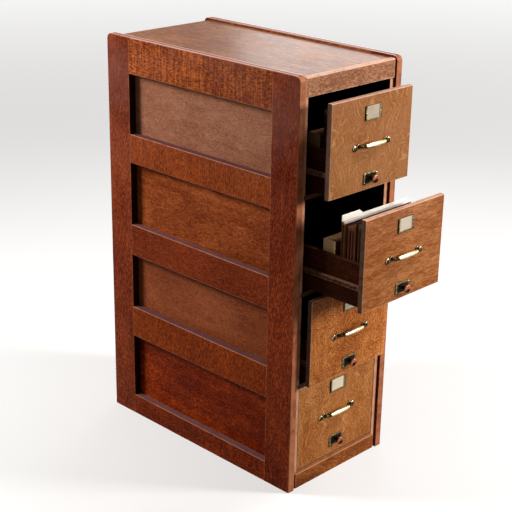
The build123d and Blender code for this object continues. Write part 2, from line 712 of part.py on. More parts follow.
for drawer in range(drawer_count):
    name = f"drawer_{drawer + 1}"
    place = Pos(0, carcass_front - DRAWER_OPENINGS[drawer], drawer_bottoms[drawer])
    save(f"{name}_front", place * drawer_front(drawer))
    save(f"{name}_sides", *[place * side for side in both_sides(drawer_side())])
    save(f"{name}_back", place * drawer_back())
    save(f"{name}_bottom", place * drawer_bottom_board(drawer))
    save(f"{name}_runners", *[place * bar for bar in both_sides(runner_bar())])
    save(f"{name}_follower", place * follower(FOLLOWER_FRONTS[drawer]))
    save(f"{name}_pull", place * pull(drawer))
    save(f"{name}_label_holder", place * label_holder(drawer))
    save(f"{name}_label_card", place * label_card(drawer))
    save(f"{name}_latch_plate", place * latch_plate(drawer))
    save(f"{name}_latch_knob", place * latch_knob(drawer))
    if drawer < len(FOLDER_ROWS):
        save(f"{name}_folders", *[place * piece for piece in folder_row(drawer)])
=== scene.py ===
import math
import random

import bmesh
import bpy
from mathutils import Matrix, Vector


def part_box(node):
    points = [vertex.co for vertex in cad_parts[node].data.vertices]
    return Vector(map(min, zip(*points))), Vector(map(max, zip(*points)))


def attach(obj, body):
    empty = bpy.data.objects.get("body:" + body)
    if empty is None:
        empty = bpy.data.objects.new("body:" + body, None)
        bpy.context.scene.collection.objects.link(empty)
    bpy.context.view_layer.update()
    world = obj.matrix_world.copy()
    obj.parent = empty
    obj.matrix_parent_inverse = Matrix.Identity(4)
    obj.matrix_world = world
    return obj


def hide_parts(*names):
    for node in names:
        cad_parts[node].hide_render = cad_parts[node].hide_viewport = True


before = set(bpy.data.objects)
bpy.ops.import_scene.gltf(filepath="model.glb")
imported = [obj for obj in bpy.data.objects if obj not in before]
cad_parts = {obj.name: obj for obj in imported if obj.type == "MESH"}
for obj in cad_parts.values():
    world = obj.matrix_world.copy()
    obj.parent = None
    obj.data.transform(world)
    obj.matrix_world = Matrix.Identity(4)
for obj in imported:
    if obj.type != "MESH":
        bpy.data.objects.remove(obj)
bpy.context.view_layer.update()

# Corner posts: four upright oak pieces that carry the case, cut out for the rails and panels housed in
# them. Like every board of the case they have a run of grain of their own and arrises eased by hand.

VALUE = "NodeSocketFloat"
VECTOR = "NodeSocketVector"
COLOUR = "NodeSocketColor"
WHITE = (1.0, 1.0, 1.0, 1.0)
CORNER_DIGITS = 7
FLAT_WITHIN = math.radians(0.3)
SHARP_FROM = math.radians(40)
SMOOTH_UP_TO = math.radians(60)
ROUNDED_BELOW = 0.985
SQUARE_ON = 0.9


def shade(red, green, blue, alpha=1.0):
    """A colour as it looks on a screen, from 0 to 255, as Blender wants it."""
    return tuple((value / 255) ** 2.2 for value in (red, green, blue)) + (alpha,)


def closed_shells(node):
    """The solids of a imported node, which follow one another in its mesh."""
    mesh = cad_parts[node].data
    shells = []
    unpaired = set()
    points = {}
    faces = []
    for polygon in mesh.polygons:
        corners = [mesh.vertices[n].co for n in polygon.vertices]
        corners = [tuple(round(value, CORNER_DIGITS) for value in corner) for corner in corners]
        corners = [corner for n, corner in enumerate(corners) if corner != corners[n - 1]]
        if len(corners) < 3:
            continue
        for start, end in zip(corners, corners[1:] + corners[:1]):
            unpaired ^= {frozenset((start, end))}
        faces.append([points.setdefault(corner, len(points)) for corner in corners])
        if not unpaired:
            shells.append((list(points), faces))
            points = {}
            faces = []
    return shells


def spread(points):
    """The lowest and the highest corner of the room that some points take up."""
    low = Vector([min(point[axis] for point in points) for axis in range(3)])
    high = Vector([max(point[axis] for point in points) for axis in range(3)])
    return low, high


def box_corners(node):
    """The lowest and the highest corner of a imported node."""
    low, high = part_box(node)
    return Vector(low), Vector(high)


def eased(points, faces, arris):
    """One solid with its flat faces made whole and its sharp arrises rounded."""
    solid = bmesh.new()
    corners = [solid.verts.new(point) for point in points]
    for face in faces:
        solid.faces.new([corners[n] for n in face])
    bmesh.ops.dissolve_limit(solid, angle_limit=FLAT_WITHIN, verts=solid.verts, edges=solid.edges)
    solid.normal_update()
    if arris:
        sharp = [edge for edge in solid.edges if edge.is_convex and edge.calc_face_angle(0) > SHARP_FROM]
        bmesh.ops.bevel(solid, geom=sharp, offset=arris, segments=2, profile=0.5, affect="EDGES",
                        clamp_overlap=True)
        solid.normal_update()
    return solid


def new_object(name, data):
    """Sets something into the scene under a name."""
    made = bpy.data.objects.new(name, data)
    bpy.context.scene.collection.objects.link(made)
    return made


def make_piece(name, mesh, material, body, slot, *nodes):
    """Turns a mesh into a piece of the object, on its body and in place of its nodes."""
    mesh.materials.append(material)
    piece = new_object(name, mesh)
    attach(piece, body)
    if nodes:
        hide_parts(*nodes)
    return piece


def finish_normals(piece):
    """Smooths the roundings of a piece and keeps its flat faces flat."""
    mesh = piece.data
    mesh.shade_smooth()
    mesh.set_sharp_from_angle(angle=SMOOTH_UP_TO)
    smoother = piece.modifiers.new("normals", "WEIGHTED_NORMAL")
    smoother.weight = 100
    smoother.keep_sharp = True
    shaped = bpy.data.meshes.new_from_object(piece.evaluated_get(bpy.context.evaluated_depsgraph_get()))
    piece.modifiers.clear()
    piece.data = shaped


POINT_PLACE = ("FLOAT_VECTOR", "POINT", "vector")
POINT_COLOUR = ("FLOAT_COLOR", "POINT", "color")
POINT_VALUE = ("FLOAT", "POINT", "value")
FACE_VALUE = ("FLOAT", "FACE", "value")
BOARD_FACTS = {"place": POINT_PLACE, "half": POINT_PLACE, "number": POINT_VALUE, "stain": POINT_COLOUR,
               "ripple": POINT_VALUE, "rounded": FACE_VALUE, "end": FACE_VALUE, "painted_shade": FACE_VALUE}


def boards(name, node, body, material, slot, arris=0.0008, grain=None, seed=1, stain=None, painted_shade_at=None,
           ripple=None):
    """Dresses a wooden node: every board knows its own grain, size, number and stain."""
    draw = random.Random(seed)
    points = []
    faces = []
    facts = {label: [] for label in BOARD_FACTS}
    for shell_points, shell_faces in closed_shells(node):
        solid = eased(shell_points, shell_faces, arris)
        low, high = spread([vert.co for vert in solid.verts])
        size = high - low
        centre = (low + high) / 2
        order = sorted(range(3), key=lambda axis: -size[axis])
        if grain:
            order.sort(key=lambda axis: axis != grain(centre))
        number = draw.random()
        colour = stain(centre) if stain else WHITE
        start = len(points)
        for index, vert in enumerate(solid.verts):
            vert.index = index
            points.append(tuple(vert.co))
            facts["place"].extend(vert.co[axis] - centre[axis] for axis in order)
            facts["half"].extend(size[axis] / 2 for axis in order)
            facts["number"].append(number)
            facts["stain"].extend(colour)
            facts["ripple"].append(ripple(centre) if ripple else 0.0)
        for face in solid.faces:
            faces.append([start + vert.index for vert in face.verts])
            squareness = max(abs(value) for value in face.normal)
            facts["rounded"].append(1.0 if squareness < ROUNDED_BELOW else 0.0)
            facts["end"].append(1.0 if abs(face.normal[order[0]]) > SQUARE_ON else 0.0)
            # Each face tells how much painted shade it gets.
            facts["painted_shade"].append(painted_shade_at(face.calc_center_median(), face.normal) if painted_shade_at else 0.0)
        solid.free()
    mesh = bpy.data.meshes.new(name)
    mesh.from_pydata(points, [], faces)
    for label, (kind, domain, field) in BOARD_FACTS.items():
        mesh.attributes.new(label, kind, domain).data.foreach_set(field, facts[label])
    finish_normals(make_piece(name, mesh, material, body, slot, node))


def wire(tree, kind, inputs=None, **settings):
    """Adds a node, sets it, feeds it with values or links, and gives its outputs."""
    made = tree.nodes.new(kind)
    for name, value in settings.items():
        setattr(made, name, value)
    for socket, value in (inputs or {}).items():
        if isinstance(value, bpy.types.NodeSocket):
            tree.links.new(value, made.inputs[socket])
        else:
            made.inputs[socket].default_value = value
    return made.outputs


def work(tree, operation, *values):
    """A sum on numbers or links."""
    return wire(tree, "ShaderNodeMath", dict(enumerate(values)), operation=operation)[0]


def times(tree, first, second):
    """One number or link times another."""
    return work(tree, "MULTIPLY", first, second)


def place_work(tree, operation, *values):
    """A sum on places."""
    return wire(tree, "ShaderNodeVectorMath", dict(enumerate(values)), operation=operation)[0]


def cloud(tree, place, scales, detail=2.0, roughness=0.5, distortion=0.0):
    """Soft noise, with as many patterns to the metre along each axis as its scales say."""
    return wire(tree, "ShaderNodeTexNoise", {
        "Vector": place_work(tree, "MULTIPLY", place, scales), "Scale": 1.0, "Detail": detail,
        "Roughness": roughness, "Distortion": distortion})[0]


def window(tree, value, low, high, first=0.0, last=1.0):
    """Turns one span of values into another and holds it at the ends."""
    return wire(tree, "ShaderNodeMapRange", {0: value, 1: low, 2: high, 3: first, 4: last},
                interpolation_type="SMOOTHSTEP")[0]


def swaying(tree, place, scales, low, detail, roughness=0.5):
    """Noise that sways about nought, from half below to half above it."""
    noise = cloud(tree, place, scales, detail, roughness)
    return window(tree, noise, low, 1.0 - low, -0.5, 0.5)


def mixed(tree, share, first, second, mode="MIX"):
    """Two colours mixed by a share."""
    return wire(tree, "ShaderNodeMix", {0: share, 6: first, 7: second}, data_type="RGBA", blend_type=mode)[2]


def tinted(tree, colour, tint):
    """A colour seen through a tint."""
    return mixed(tree, 1.0, colour, tint, "MULTIPLY")


def node_group(name, inputs, outputs):
    """An empty node group with named sockets."""
    tree = bpy.data.node_groups.new(name, "ShaderNodeTree")
    for label, kind in inputs.items():
        tree.interface.new_socket(label, in_out="INPUT", socket_type=kind)
    for label, kind in outputs.items():
        tree.interface.new_socket(label, in_out="OUTPUT", socket_type=kind)
    return tree, tree.nodes.new("NodeGroupInput").outputs, tree.nodes.new("NodeGroupOutput").inputs


def own_run(tree, given, step):
    """A board's place in a pattern, set apart by its number so that no two boards are alike."""
    apart = wire(tree, "ShaderNodeVectorMath", {0: step, 3: given["Board"]}, operation="SCALE")[0]
    return place_work(tree, "ADD", given["Place"], apart)


TONE_GAIN = 1.43
TONE_CURVE = 1.6
RAY_GLEAM = (1.3, 1.42, 1.6, 1.0)
PORE_TINT = (0.35, 0.3, 0.28, 1.0)


def make_oak_figure():
    """Oak seen close: bands, short flecks and fibres along the grain, pale swirls, and open pores."""
    tree, given, out = node_group(
        "oak figure",
        {"Place": VECTOR, "Board": VALUE, "Strength": VALUE, "Light": COLOUR, "Dark": COLOUR, "Band": VALUE,
         "Fleck": VALUE, "Short": VALUE, "Swirl": VALUE, "Blotch": VALUE, "Pores": VALUE, "Ripple": VALUE},
        {"Colour": COLOUR, "Height": VALUE, "Shine": VALUE})
    place = own_run(tree, given, (7.3, 3.1, 5.7))
    hills = cloud(tree, place, (8.5, 6.5, 6.5), 2.0, 0.45, 0.6)
    lift = times(tree, work(tree, "SUBTRACT", hills, 0.5), given["Swirl"])
    wander = work(tree, "SUBTRACT", cloud(tree, place, (3.0, 9, 9)), 0.5)
    drift = work(tree, "ADD", times(tree, lift, 0.3), times(tree, wander, 0.04))
    bent = place_work(tree, "ADD", place, wire(tree, "ShaderNodeCombineXYZ", {1: drift, 2: drift})[0])
    shortened = wire(tree, "ShaderNodeCombineXYZ", {0: given["Short"], 1: 1.0, 2: 1.0})[0]
    cut = place_work(tree, "MULTIPLY", bent, shortened)

    bands = swaying(tree, bent, (6, 34, 34), 0.3, 3.0, 0.6)
    flecks = swaying(tree, cut, (60, 200, 200), 0.22, 3.0, 0.65)
    dashes = swaying(tree, cut, (110, 320, 320), 0.28, 1.0)
    ripples = swaying(tree, bent, (150, 11, 11), 0.3, 2.0)
    blotches = swaying(tree, place, (3.6, 5.4, 5.4), 0.3, 3.0, 0.55)
    fibres = cloud(tree, bent, (30, 900, 900), 1.0)

    across = wire(tree, "ShaderNodeSeparateXYZ", {0: place})[1]
    climb = work(tree, "ADD", times(tree, hills, 16.0), times(tree, across, 50.0))
    ridges = work(tree, "PINGPONG", climb, 0.5)
    gaps = window(tree, cloud(tree, place, (20, 34, 34), 2.0), 0.42, 0.6)
    swirls = times(tree, window(tree, ridges, 0.33, 0.48), gaps)
    rays = times(tree, swirls, given["Swirl"])

    tone = times(tree, work(tree, "SUBTRACT", fibres, 0.5), 0.2)
    for pattern, label in ((bands, "Band"), (flecks, "Fleck"), (dashes, "Fleck"), (blotches, "Blotch"),
                           (ripples, "Ripple")):
        tone = work(tree, "ADD", tone, times(tree, pattern, given[label]))
    tone = work(tree, "ADD", 0.5, times(tree, tone, given["Strength"]))
    tone = work(tree, "POWER", work(tree, "MAXIMUM", 0.0, tone), TONE_CURVE)
    tone = times(tree, TONE_GAIN, tone)
    colour = wire(tree, "ShaderNodeMix", {0: tone, 6: given["Dark"], 7: given["Light"]}, data_type="RGBA",
                  clamp_factor=False)[2]
    colour = mixed(tree, rays, colour, tinted(tree, given["Light"], RAY_GLEAM))

    holes = window(tree, cloud(tree, bent, (60, 1100, 1100), 0.0), 0.6, 0.7)
    sunk = times(tree, holes, given["Pores"])
    tree.links.new(mixed(tree, sunk, colour, tinted(tree, given["Dark"], PORE_TINT)), out["Colour"])
    relief = work(tree, "SUBTRACT", times(tree, fibres, 0.35), sunk)
    tree.links.new(work(tree, "ADD", relief, times(tree, flecks, 0.3)), out["Height"])
    tree.links.new(work(tree, "ADD", rays, flecks), out["Shine"])
    return tree


RIM_FROM = 0.003
RIM_TO = 0.007


def make_edge_wear():
    """Where hands and years rub a board: its arrises, and patches near its outer edges."""
    tree, given, out = node_group(
        "edge wear", {"Place": VECTOR, "Half": VECTOR, "Board": VALUE, "Rounded": VALUE, "Reach": VALUE},
        {"Worn": VALUE, "Grime": VALUE, "Rim": VALUE})
    inward = place_work(tree, "SUBTRACT", given["Half"], place_work(tree, "ABSOLUTE", given["Place"]))
    sides = wire(tree, "ShaderNodeSeparateXYZ", {0: inward})
    near = work(tree, "MINIMUM", sides[0], sides[1])
    # The rim: along a board's arrises across its thickness, where a painted highlight goes on the frames'
    # tops.
    tree.links.new(window(tree, sides[2], RIM_FROM, RIM_TO, 1.0, 0.0), out["Rim"])
    place = own_run(tree, given, (2.9, 6.1, 4.3))
    patchy = cloud(tree, place, (26, 34, 34), 3.0, 0.6)
    edge = work(tree, "SUBTRACT", 1.0, work(tree, "DIVIDE", near, given["Reach"]))
    rubbed = window(tree, work(tree, "ADD", edge, work(tree, "SUBTRACT", patchy, 0.5)), 0.6, 1.15)
    whole = times(tree, given["Rounded"], window(tree, patchy, 0.25, 0.55, 0.45, 1.0))
    tree.links.new(work(tree, "MAXIMUM", rubbed, whole), out["Worn"])
    old = cloud(tree, place, (7, 9, 9), 4.0, 0.6)
    tree.links.new(window(tree, old, 0.5, 0.72), out["Grime"])
    return tree


def new_finish(name):
    """An empty material, with its node tree and its shader."""
    material = bpy.data.materials.new(name)
    material.use_nodes = True
    return material, material.node_tree, material.node_tree.nodes["Principled BSDF"]


def told(tree, label, kind="Fac"):
    """What a piece's mesh tells of each point or face under a label."""
    return wire(tree, "ShaderNodeAttribute", attribute_name=label)[kind]


def lift_surface(tree, shader, height, strength, distance):
    """Lets a height stand out from the surface."""
    bump = wire(tree, "ShaderNodeBump", {"Strength": strength, "Distance": distance, "Height": height})[0]
    tree.links.new(bump, shader.inputs["Normal"])


oak_figure = make_oak_figure()
edge_wear = make_edge_wear()
PORES = 0.5
# Painted sheen: its pale milky colour, and the heights where it starts and is full.
PAINTED_SHEEN_COLOUR = shade(176, 122, 108)
PAINTED_SHEEN_FROM = 0.7
PAINTED_SHEEN_FULL = 1.32
# A painted highlight for the frames' top edges, dust and painted sheen between them, and the heights of the
# tops.
TOP_EDGE_HIGHLIGHT = shade(238, 200, 188)
TOP_MIDDLE_DUST_AND_SHEEN = shade(128, 84, 78)
TOP_FROM = 1.27
TOP_FULL = 1.3
END_TINT = (0.6, 0.52, 0.48, 1.0)
# Painted shade: the tint that darkens marked faces nearly to black.
PAINTED_SHADE_TINT = (0.05, 0.03, 0.03, 1.0)


def oak(name, light, dark, worn, band=0.3, fleck=0.6, short=1.0, swirl=0.1, blotch=0.4, roughness=0.45,
        reach=0.006, coat=0.05, coat_roughness=0.32, end=None, dust_and_sheen=None, painted_sheen=0.0):
    """Varnished oak: two stains mixed by the figure, rubbed edges, ledges of dust and painted sheen, satin
    gloss.

    A painted sheen, pale and milky, lies over the upper parts, strongest towards the top.
    """
    material, tree, shader = new_finish(name)
    place = told(tree, "place", "Vector")
    number = told(tree, "number")
    stain = wire(tree, "ShaderNodeAttribute", attribute_name="stain")
    surface = wire(tree, "ShaderNodeNewGeometry")
    height = wire(tree, "ShaderNodeSeparateXYZ", {0: surface["Position"]})[2]
    figure = wire(tree, "ShaderNodeGroup", {
        "Place": place, "Board": number, "Strength": stain["Alpha"], "Light": shade(*light),
        "Dark": shade(*dark), "Band": band, "Fleck": fleck, "Short": short, "Swirl": swirl,
        "Blotch": blotch, "Pores": PORES, "Ripple": told(tree, "ripple")}, node_tree=oak_figure)
    wear = wire(tree, "ShaderNodeGroup", {
        "Place": place, "Half": told(tree, "half", "Vector"), "Board": number,
        "Rounded": told(tree, "rounded"), "Reach": reach}, node_tree=edge_wear)
    colour = tinted(tree, figure["Colour"], stain["Color"])
    # Painted sheen, pale and milky, strongest towards the top.
    if painted_sheen:
        patches = cloud(tree, surface["Position"], (3.0, 3.0, 4.5), 3.0, 0.6)
        upper = window(tree, height, PAINTED_SHEEN_FROM, PAINTED_SHEEN_FULL)
        sheen_share = times(tree, upper, window(tree, patches, 0.35, 0.65))
        colour = mixed(tree, times(tree, sheen_share, painted_sheen), colour, PAINTED_SHEEN_COLOUR)
    colour = mixed(tree, times(tree, wear["Worn"], 0.75), colour, shade(*worn))
    end_colour = end or tinted(tree, colour, END_TINT)
    colour = mixed(tree, times(tree, told(tree, "end"), 0.85), colour, end_colour)
    # Dust and a painted sheen on level faces; on the frames' tops, a painted highlight along the rim.
    if dust_and_sheen:
        facing = wire(tree, "ShaderNodeSeparateXYZ", {0: surface["Normal"]})[2]
        upward = window(tree, facing, 0.8, 0.98)
        top_dust_and_highlight = mixed(tree, wear["Rim"], TOP_MIDDLE_DUST_AND_SHEEN, TOP_EDGE_HIGHLIGHT)
        lying_dust_and_sheen = mixed(tree, window(tree, height, TOP_FROM, TOP_FULL), dust_and_sheen, top_dust_and_highlight)
        colour = mixed(tree, times(tree, upward, 0.8), colour, lying_dust_and_sheen)
    # Painted shade: marked faces are darkened nearly to black.
    colour = mixed(tree, told(tree, "painted_shade"), colour, tinted(tree, colour, PAINTED_SHADE_TINT))
    tree.links.new(colour, shader.inputs["Base Color"])
    gloss = work(tree, "ADD", roughness, times(tree, wear["Grime"], 0.14))
    gloss = work(tree, "SUBTRACT", gloss, times(tree, figure["Shine"], 0.06))
    tree.links.new(gloss, shader.inputs["Roughness"])
    lift_surface(tree, shader, figure["Height"], 0.35, 0.0006)
    shader.inputs["Specular IOR Level"].default_value = 0.02
    shader.inputs["Coat Weight"].default_value = coat
    shader.inputs["Coat Roughness"].default_value = coat_roughness
    return material


CASE_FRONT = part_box("corner_posts")[0][1]
POST_FACE = 0.03
carcass_oak = oak("carcass oak", (184, 116, 76), (112, 60, 34), (222, 164, 132))


def painted_shade_inside(place, facing):
    """Painted shade for faces inside the case: those turned to the middle, those facing forwards behind the
    front, and level ones.
    """
    to_middle = abs(facing.x) > SQUARE_ON and place.x * facing.x < 0
    to_front = facing.y < -SQUARE_ON and place.y > CASE_FRONT + POST_FACE
    return 1.0 if to_middle or to_front or abs(facing.z) > SQUARE_ON else 0.0


boards("posts", "corner_posts", "case", carcass_oak, "carcass_wood", seed=11, painted_shade_at=painted_shade_inside)

# Base: the plinth under the lowest drawer and two bearers on edge, with the case's floor on them.
# All are oak, glued and screwed from below, and stained a plain golden brown.

# Inner wood, never varnished, painted nearly black as shade.
shaded_inner_oak = oak("inner oak in painted shade", (42, 23, 15), (19, 10, 7), (56, 34, 24), roughness=0.75, coat=0.0)
plinth_oak = oak("plinth oak", (155, 89, 44), (92, 46, 21), (190, 130, 90))
boards("base_boards", "base_rails", "case", plinth_oak, "carcass_wood", arris=0, seed=12)
boards("case_floor", "floor_board", "case", plinth_oak, "inner_wood", seed=13)

# Drawer guides: grooved oak bars, two to a drawer, that carry the drawers' runners. They were never
# varnished, and are glued and screwed to the posts inside the case. Their colour is painted nearly black, as
# shade.

boards("guides", "drawer_guides", "case", shaded_inner_oak, "inner_wood", seed=14)

# Side panels: thin quarter-sawn boards let into the posts behind the openings of the side frames.
# Each has a stain of its own and painted shade, mostly darker towards the bottom, the top one palest.

PANEL_STAINS_AND_SHADE = (shade(252, 248, 246, 0.42), shade(228, 168, 112, 1.0), shade(227, 180, 143, 0.55),
                shade(196, 107, 52, 1.5))
PANELS_TOP = 1.3
PANEL_STEP = 0.31


def panel_stain_and_shade(centre):
    """The stain and painted shade of the panel at a given height."""
    return PANEL_STAINS_AND_SHADE[min(3, max(0, int((PANELS_TOP - centre.z) / PANEL_STEP)))]


panel_oak = oak("panel oak", (183, 129, 102), (117, 65, 41), (176, 124, 100), fleck=0.5, short=0.8,
                swirl=0.22)
boards("panels", "side_panels", "case", panel_oak, "panel_wood", arris=0, seed=15, stain=panel_stain_and_shade,
       painted_shade_at=painted_shade_inside)

# Back: three oak rails across the rear posts, grooved for the two thin panels between them.
# It is plain, because such a cabinet stands with its back to a wall.

boards("rear_rails", "back_rails", "case", carcass_oak, "frame_wood", seed=16, painted_shade_at=painted_shade_inside)
boards("rear_panels", "back_panels", "case", panel_oak, "panel_wood", arris=0, seed=17,
       stain=lambda centre: shade(226, 180, 142, 0.6), painted_shade_at=painted_shade_inside)

# Rails between the drawers: three oak bars housed in the posts, flush with the drawer fronts.
# They are coloured dark as painted shade, and their tops and undersides are painted darker still.

divider_oak_painted_shade = oak("divider oak", (92, 56, 36), (56, 30, 17), (104, 68, 48))
boards("divider_boards", "divider_rails", "case", divider_oak_painted_shade, "carcass_wood", arris=0, seed=18,
       painted_shade_at=painted_shade_inside)

# Top: one wide oak board, glued down behind the rail over the top drawer, whose upper edge is rounded.
# The board has a deep, soft gloss, and the rail is coloured paler, for worn edges and a painted sheen.

top_oak = oak("top oak", (148, 86, 34), (94, 47, 14), (180, 128, 100), fleck=0.55, short=0.35, blotch=0.35,
              coat=0.235, coat_roughness=0.28)
boards("top", "top_board", "case", top_oak, "top_wood", arris=0.0004, seed=19)
rail_over_oak = oak("top rail oak", (186, 131, 100), (126, 80, 56), (228, 184, 156))
boards("rail_over_drawers", "top_front_rail", "case", rail_over_oak, "carcass_wood", arris=0, seed=20)

# Side frames: stiles and rails of red-stained oak, mortised together and held off the carcass by dowels.
# Some rails have their figure upright, so that they look flecked from edge to edge.

WIDTH, DEPTH, HEIGHT = range(3)
# Dust on the frames' ledges, with a painted sheen.
LEDGE_DUST_AND_SHEEN = shade(92, 62, 70)
# The rails' stains carry painted shade too, mostly darker towards the bottom.
RAIL_STAINS_AND_SHADE = (shade(252, 234, 204, 0.68), shade(247, 218, 188, 0.5), shade(219, 174, 156, 0.46),
               shade(231, 185, 118, 0.6), shade(217, 160, 111, 0.65))
RAIL_GRAINS = (DEPTH, HEIGHT, DEPTH, HEIGHT, DEPTH)
RAIL_RIPPLES = (0.6, 0.0, 0.0, 0.0, 0.3)
TOP_RAIL = 1.26
RAIL_STEP = 0.305
STILES_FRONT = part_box("frame_stiles")[0][1]
STILES_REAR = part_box("frame_stiles")[1][1]
TOP_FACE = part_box("top_board")[1][2]
OUTER_EDGE = 0.09
MARGIN = 0.01
# Painted shade against the top board, on the frames' inner faces.
SHADE_AT_TOP = 0.45


def rail_level(centre):
    """Which of a frame's five rails lies at a given height, counted from the top."""
    return min(4, max(0, round((TOP_RAIL - centre.z) / RAIL_STEP)))


def painted_shade_in_openings(place, facing):
    """Painted shade in the panels' recesses and against the top board."""
    if place.z > TOP_FACE - MARGIN and place.x * facing.x < -MARGIN:
        return SHADE_AT_TOP
    outer_edge = min(place.y - STILES_FRONT, STILES_REAR - place.y) < OUTER_EDGE
    return 1.0 if abs(facing.y) > SQUARE_ON and not outer_edge else 0.0


def stile_stain_and_shade(centre):
    """The stain of a stile, with painted shade: the front ones are a little darker and redder."""
    return shade(244, 228, 208) if centre.y < 0 else shade(255, 255, 255, 0.85)


stile_oak = oak("stile oak", (139, 63, 34), (80, 25, 6), (188, 120, 84), band=0.2, fleck=0.7,
                dust_and_sheen=LEDGE_DUST_AND_SHEEN, painted_sheen=0.2)
rail_oak = oak("frame rail oak", (174, 97, 54), (86, 31, 7), (196, 134, 104), band=0.2, fleck=0.8,
               blotch=0.3, dust_and_sheen=LEDGE_DUST_AND_SHEEN, painted_sheen=0.1)
boards("stiles", "frame_stiles", "case", stile_oak, "frame_wood", arris=0.0006, seed=21, stain=stile_stain_and_shade,
       painted_shade_at=painted_shade_in_openings)
boards("frame_boards", "frame_rails", "case", rail_oak, "frame_wood", arris=0.0006, seed=22,
       grain=lambda centre: RAIL_GRAINS[rail_level(centre)],
       stain=lambda centre: RAIL_STAINS_AND_SHADE[rail_level(centre)],
       ripple=lambda centre: RAIL_RIPPLES[rail_level(centre)], painted_shade_at=painted_shade_in_openings)
boards("dowels", "frame_dowels", "case", shaded_inner_oak, "frame_wood", arris=0, seed=23)

# Drawer boxes: oak sides and back, dovetailed together, a thin bottom in their grooves, and a runner bar
# glued along each side. The boxes are stained dark and painted darker still as shade, and the bars are
# painted paler as lit.

# Box oak: a dark stain, darkened further as painted shade.
box_oak_stain_and_shade = oak("drawer box oak", (60, 30, 17), (28, 12, 7), (84, 48, 32), fleck=0.35, roughness=0.6,
              coat=0.0)
# Runner bars painted paler, as lit on their tops.
runner_oak_painted_light = oak("runner oak", (112, 76, 58), (52, 28, 18), (140, 100, 78), roughness=0.8, coat=0.0)
DRAWERS = ("drawer_1", "drawer_2", "drawer_3", "drawer_4")
for n, drawer in enumerate(DRAWERS):
    boards(f"{drawer}_side_boards", f"{drawer}_sides", drawer, box_oak_stain_and_shade, "box_wood", seed=31 + n)
    boards(f"{drawer}_back_board", f"{drawer}_back", drawer, box_oak_stain_and_shade, "box_wood", seed=41 + n)
    boards(f"{drawer}_bottom_board", f"{drawer}_bottom", drawer, box_oak_stain_and_shade, "box_wood", seed=51 + n)
    boards(f"{drawer}_runner_bars", f"{drawer}_runners", drawer, runner_oak_painted_light, "inner_wood", seed=61 + n)

# Drawer fronts: quarter-sawn golden oak, one board each, with swirls and ray flakes under the varnish.
# The second one's grain lies, and that of the others stands.

FRONT_STAINS = (shade(222, 232, 242, 0.44), shade(230, 227, 223, 0.52), shade(252, 238, 214, 1.3),
                shade(246, 246, 235, 0.85))
# Painted shade on the fronts' side edges.
SIDE_EDGE_SHADE = 0.8
standing_oak = oak("standing front oak", (198, 131, 78), (134, 67, 24), (228, 180, 152), band=0.25,
                   short=3.0, swirl=0.6, blotch=0.3, reach=0.003, end=shade(190, 148, 130), painted_sheen=0.1)
lying_oak = oak("lying front oak", (198, 131, 80), (132, 65, 22), (228, 180, 152), band=0.6, fleck=0.7,
                short=0.4, swirl=0.12, blotch=0.15, reach=0.003, painted_sheen=0.35)


def shaded_side_edges(place, facing):
    """Painted shade on the fronts' side edges."""
    return SIDE_EDGE_SHADE if abs(facing.x) > SQUARE_ON else 0.0


for n, (drawer, front_stain) in enumerate(zip(DRAWERS, FRONT_STAINS)):
    front_oak, along = (lying_oak, WIDTH) if n == 1 else (standing_oak, HEIGHT)
    boards(f"{drawer}_front_board", f"{drawer}_front", drawer, front_oak, "front_wood", arris=0.0005,
           seed=71 + n, grain=lambda centre: along, stain=lambda centre: front_stain, painted_shade_at=shaded_side_edges)

# Follower blocks: solid oak, unvarnished, on a keel that runs in the slot of the drawer's bottom. They are
# slid forwards to hold the folders up. The second drawer's is painted paler as lit, the others darker as
# shaded.

# Lit and shaded copies of one follower oak: painted shade for the first, third and fourth drawers, painted
# light for the second.
shaded_follower = oak("follower oak in painted shade", (72, 48, 32), (44, 28, 18), (104, 76, 54), roughness=0.6, coat=0.0,
                    end=shade(128, 98, 68))
lit_follower = oak("follower oak in painted light", (100, 72, 48), (66, 44, 28), (140, 106, 74), roughness=0.6,
                    coat=0.0, end=shade(232, 194, 142))
for n, drawer in enumerate(DRAWERS):
    boards(f"{drawer}_follower_board", f"{drawer}_follower", f"{drawer}_follower_block",
           lit_follower if n == 1 else shaded_follower, "box_wood", arris=0, seed=81 + n)

# Folders: brown card folders filled with papers, each scored at its foot, standing in the two upper
# drawers. The rearmost of the second drawer holds white papers and has a tab at its left.

SHEET_THICKNESS = 0.0006
SHEET_COLUMNS = 10
CROWN_ROW = 5
FRONT_LEAF_DROP = 0.004
TAB_HEIGHT = 0.012
TAB_SLOPE = 0.016
LEAN = 0.0006
BOW = 0.0008
LEAF_FROM_REAR = 0.0002
LEAF_FROM_FRONT = 0.001
PAPERS_FROM_FRONT = 0.0016
PAPERS_CLEAR = 0.003
PAPER_PITCH = 0.0018
PAPER_LEFT_INSET = (0.003, 0.009)
PAPER_RIGHT_INSET = (0.003, 0.012)
PAPER_DROP = (0.005, 0.013)
PAPER_THICKNESS = (0.0006, 0.0012)
PAPER_TINTING = (0.45, 1.6)
AGED_TINT = (0.78, 0.66, 0.5, 1.0)
BARK = shade(58, 38, 30)
UMBER = shade(84, 56, 42)
CHESTNUT = shade(132, 86, 62)
MOSS = shade(112, 98, 70)
SLATE = shade(92, 84, 74)
CHALK = shade(255, 251, 243)
FOLDER_TINTS = {1: ((BARK, UMBER), (SLATE, MOSS), (UMBER, BARK), (BARK, BARK)),
                2: ((BARK, SLATE), (BARK, UMBER), (MOSS, MOSS), (UMBER, BARK), (CHESTNUT, UMBER),
                    (CHESTNUT, CHESTNUT), (CHESTNUT, UMBER), (UMBER, CHESTNUT), (BARK, UMBER),
                    (CHESTNUT, CHESTNUT))}


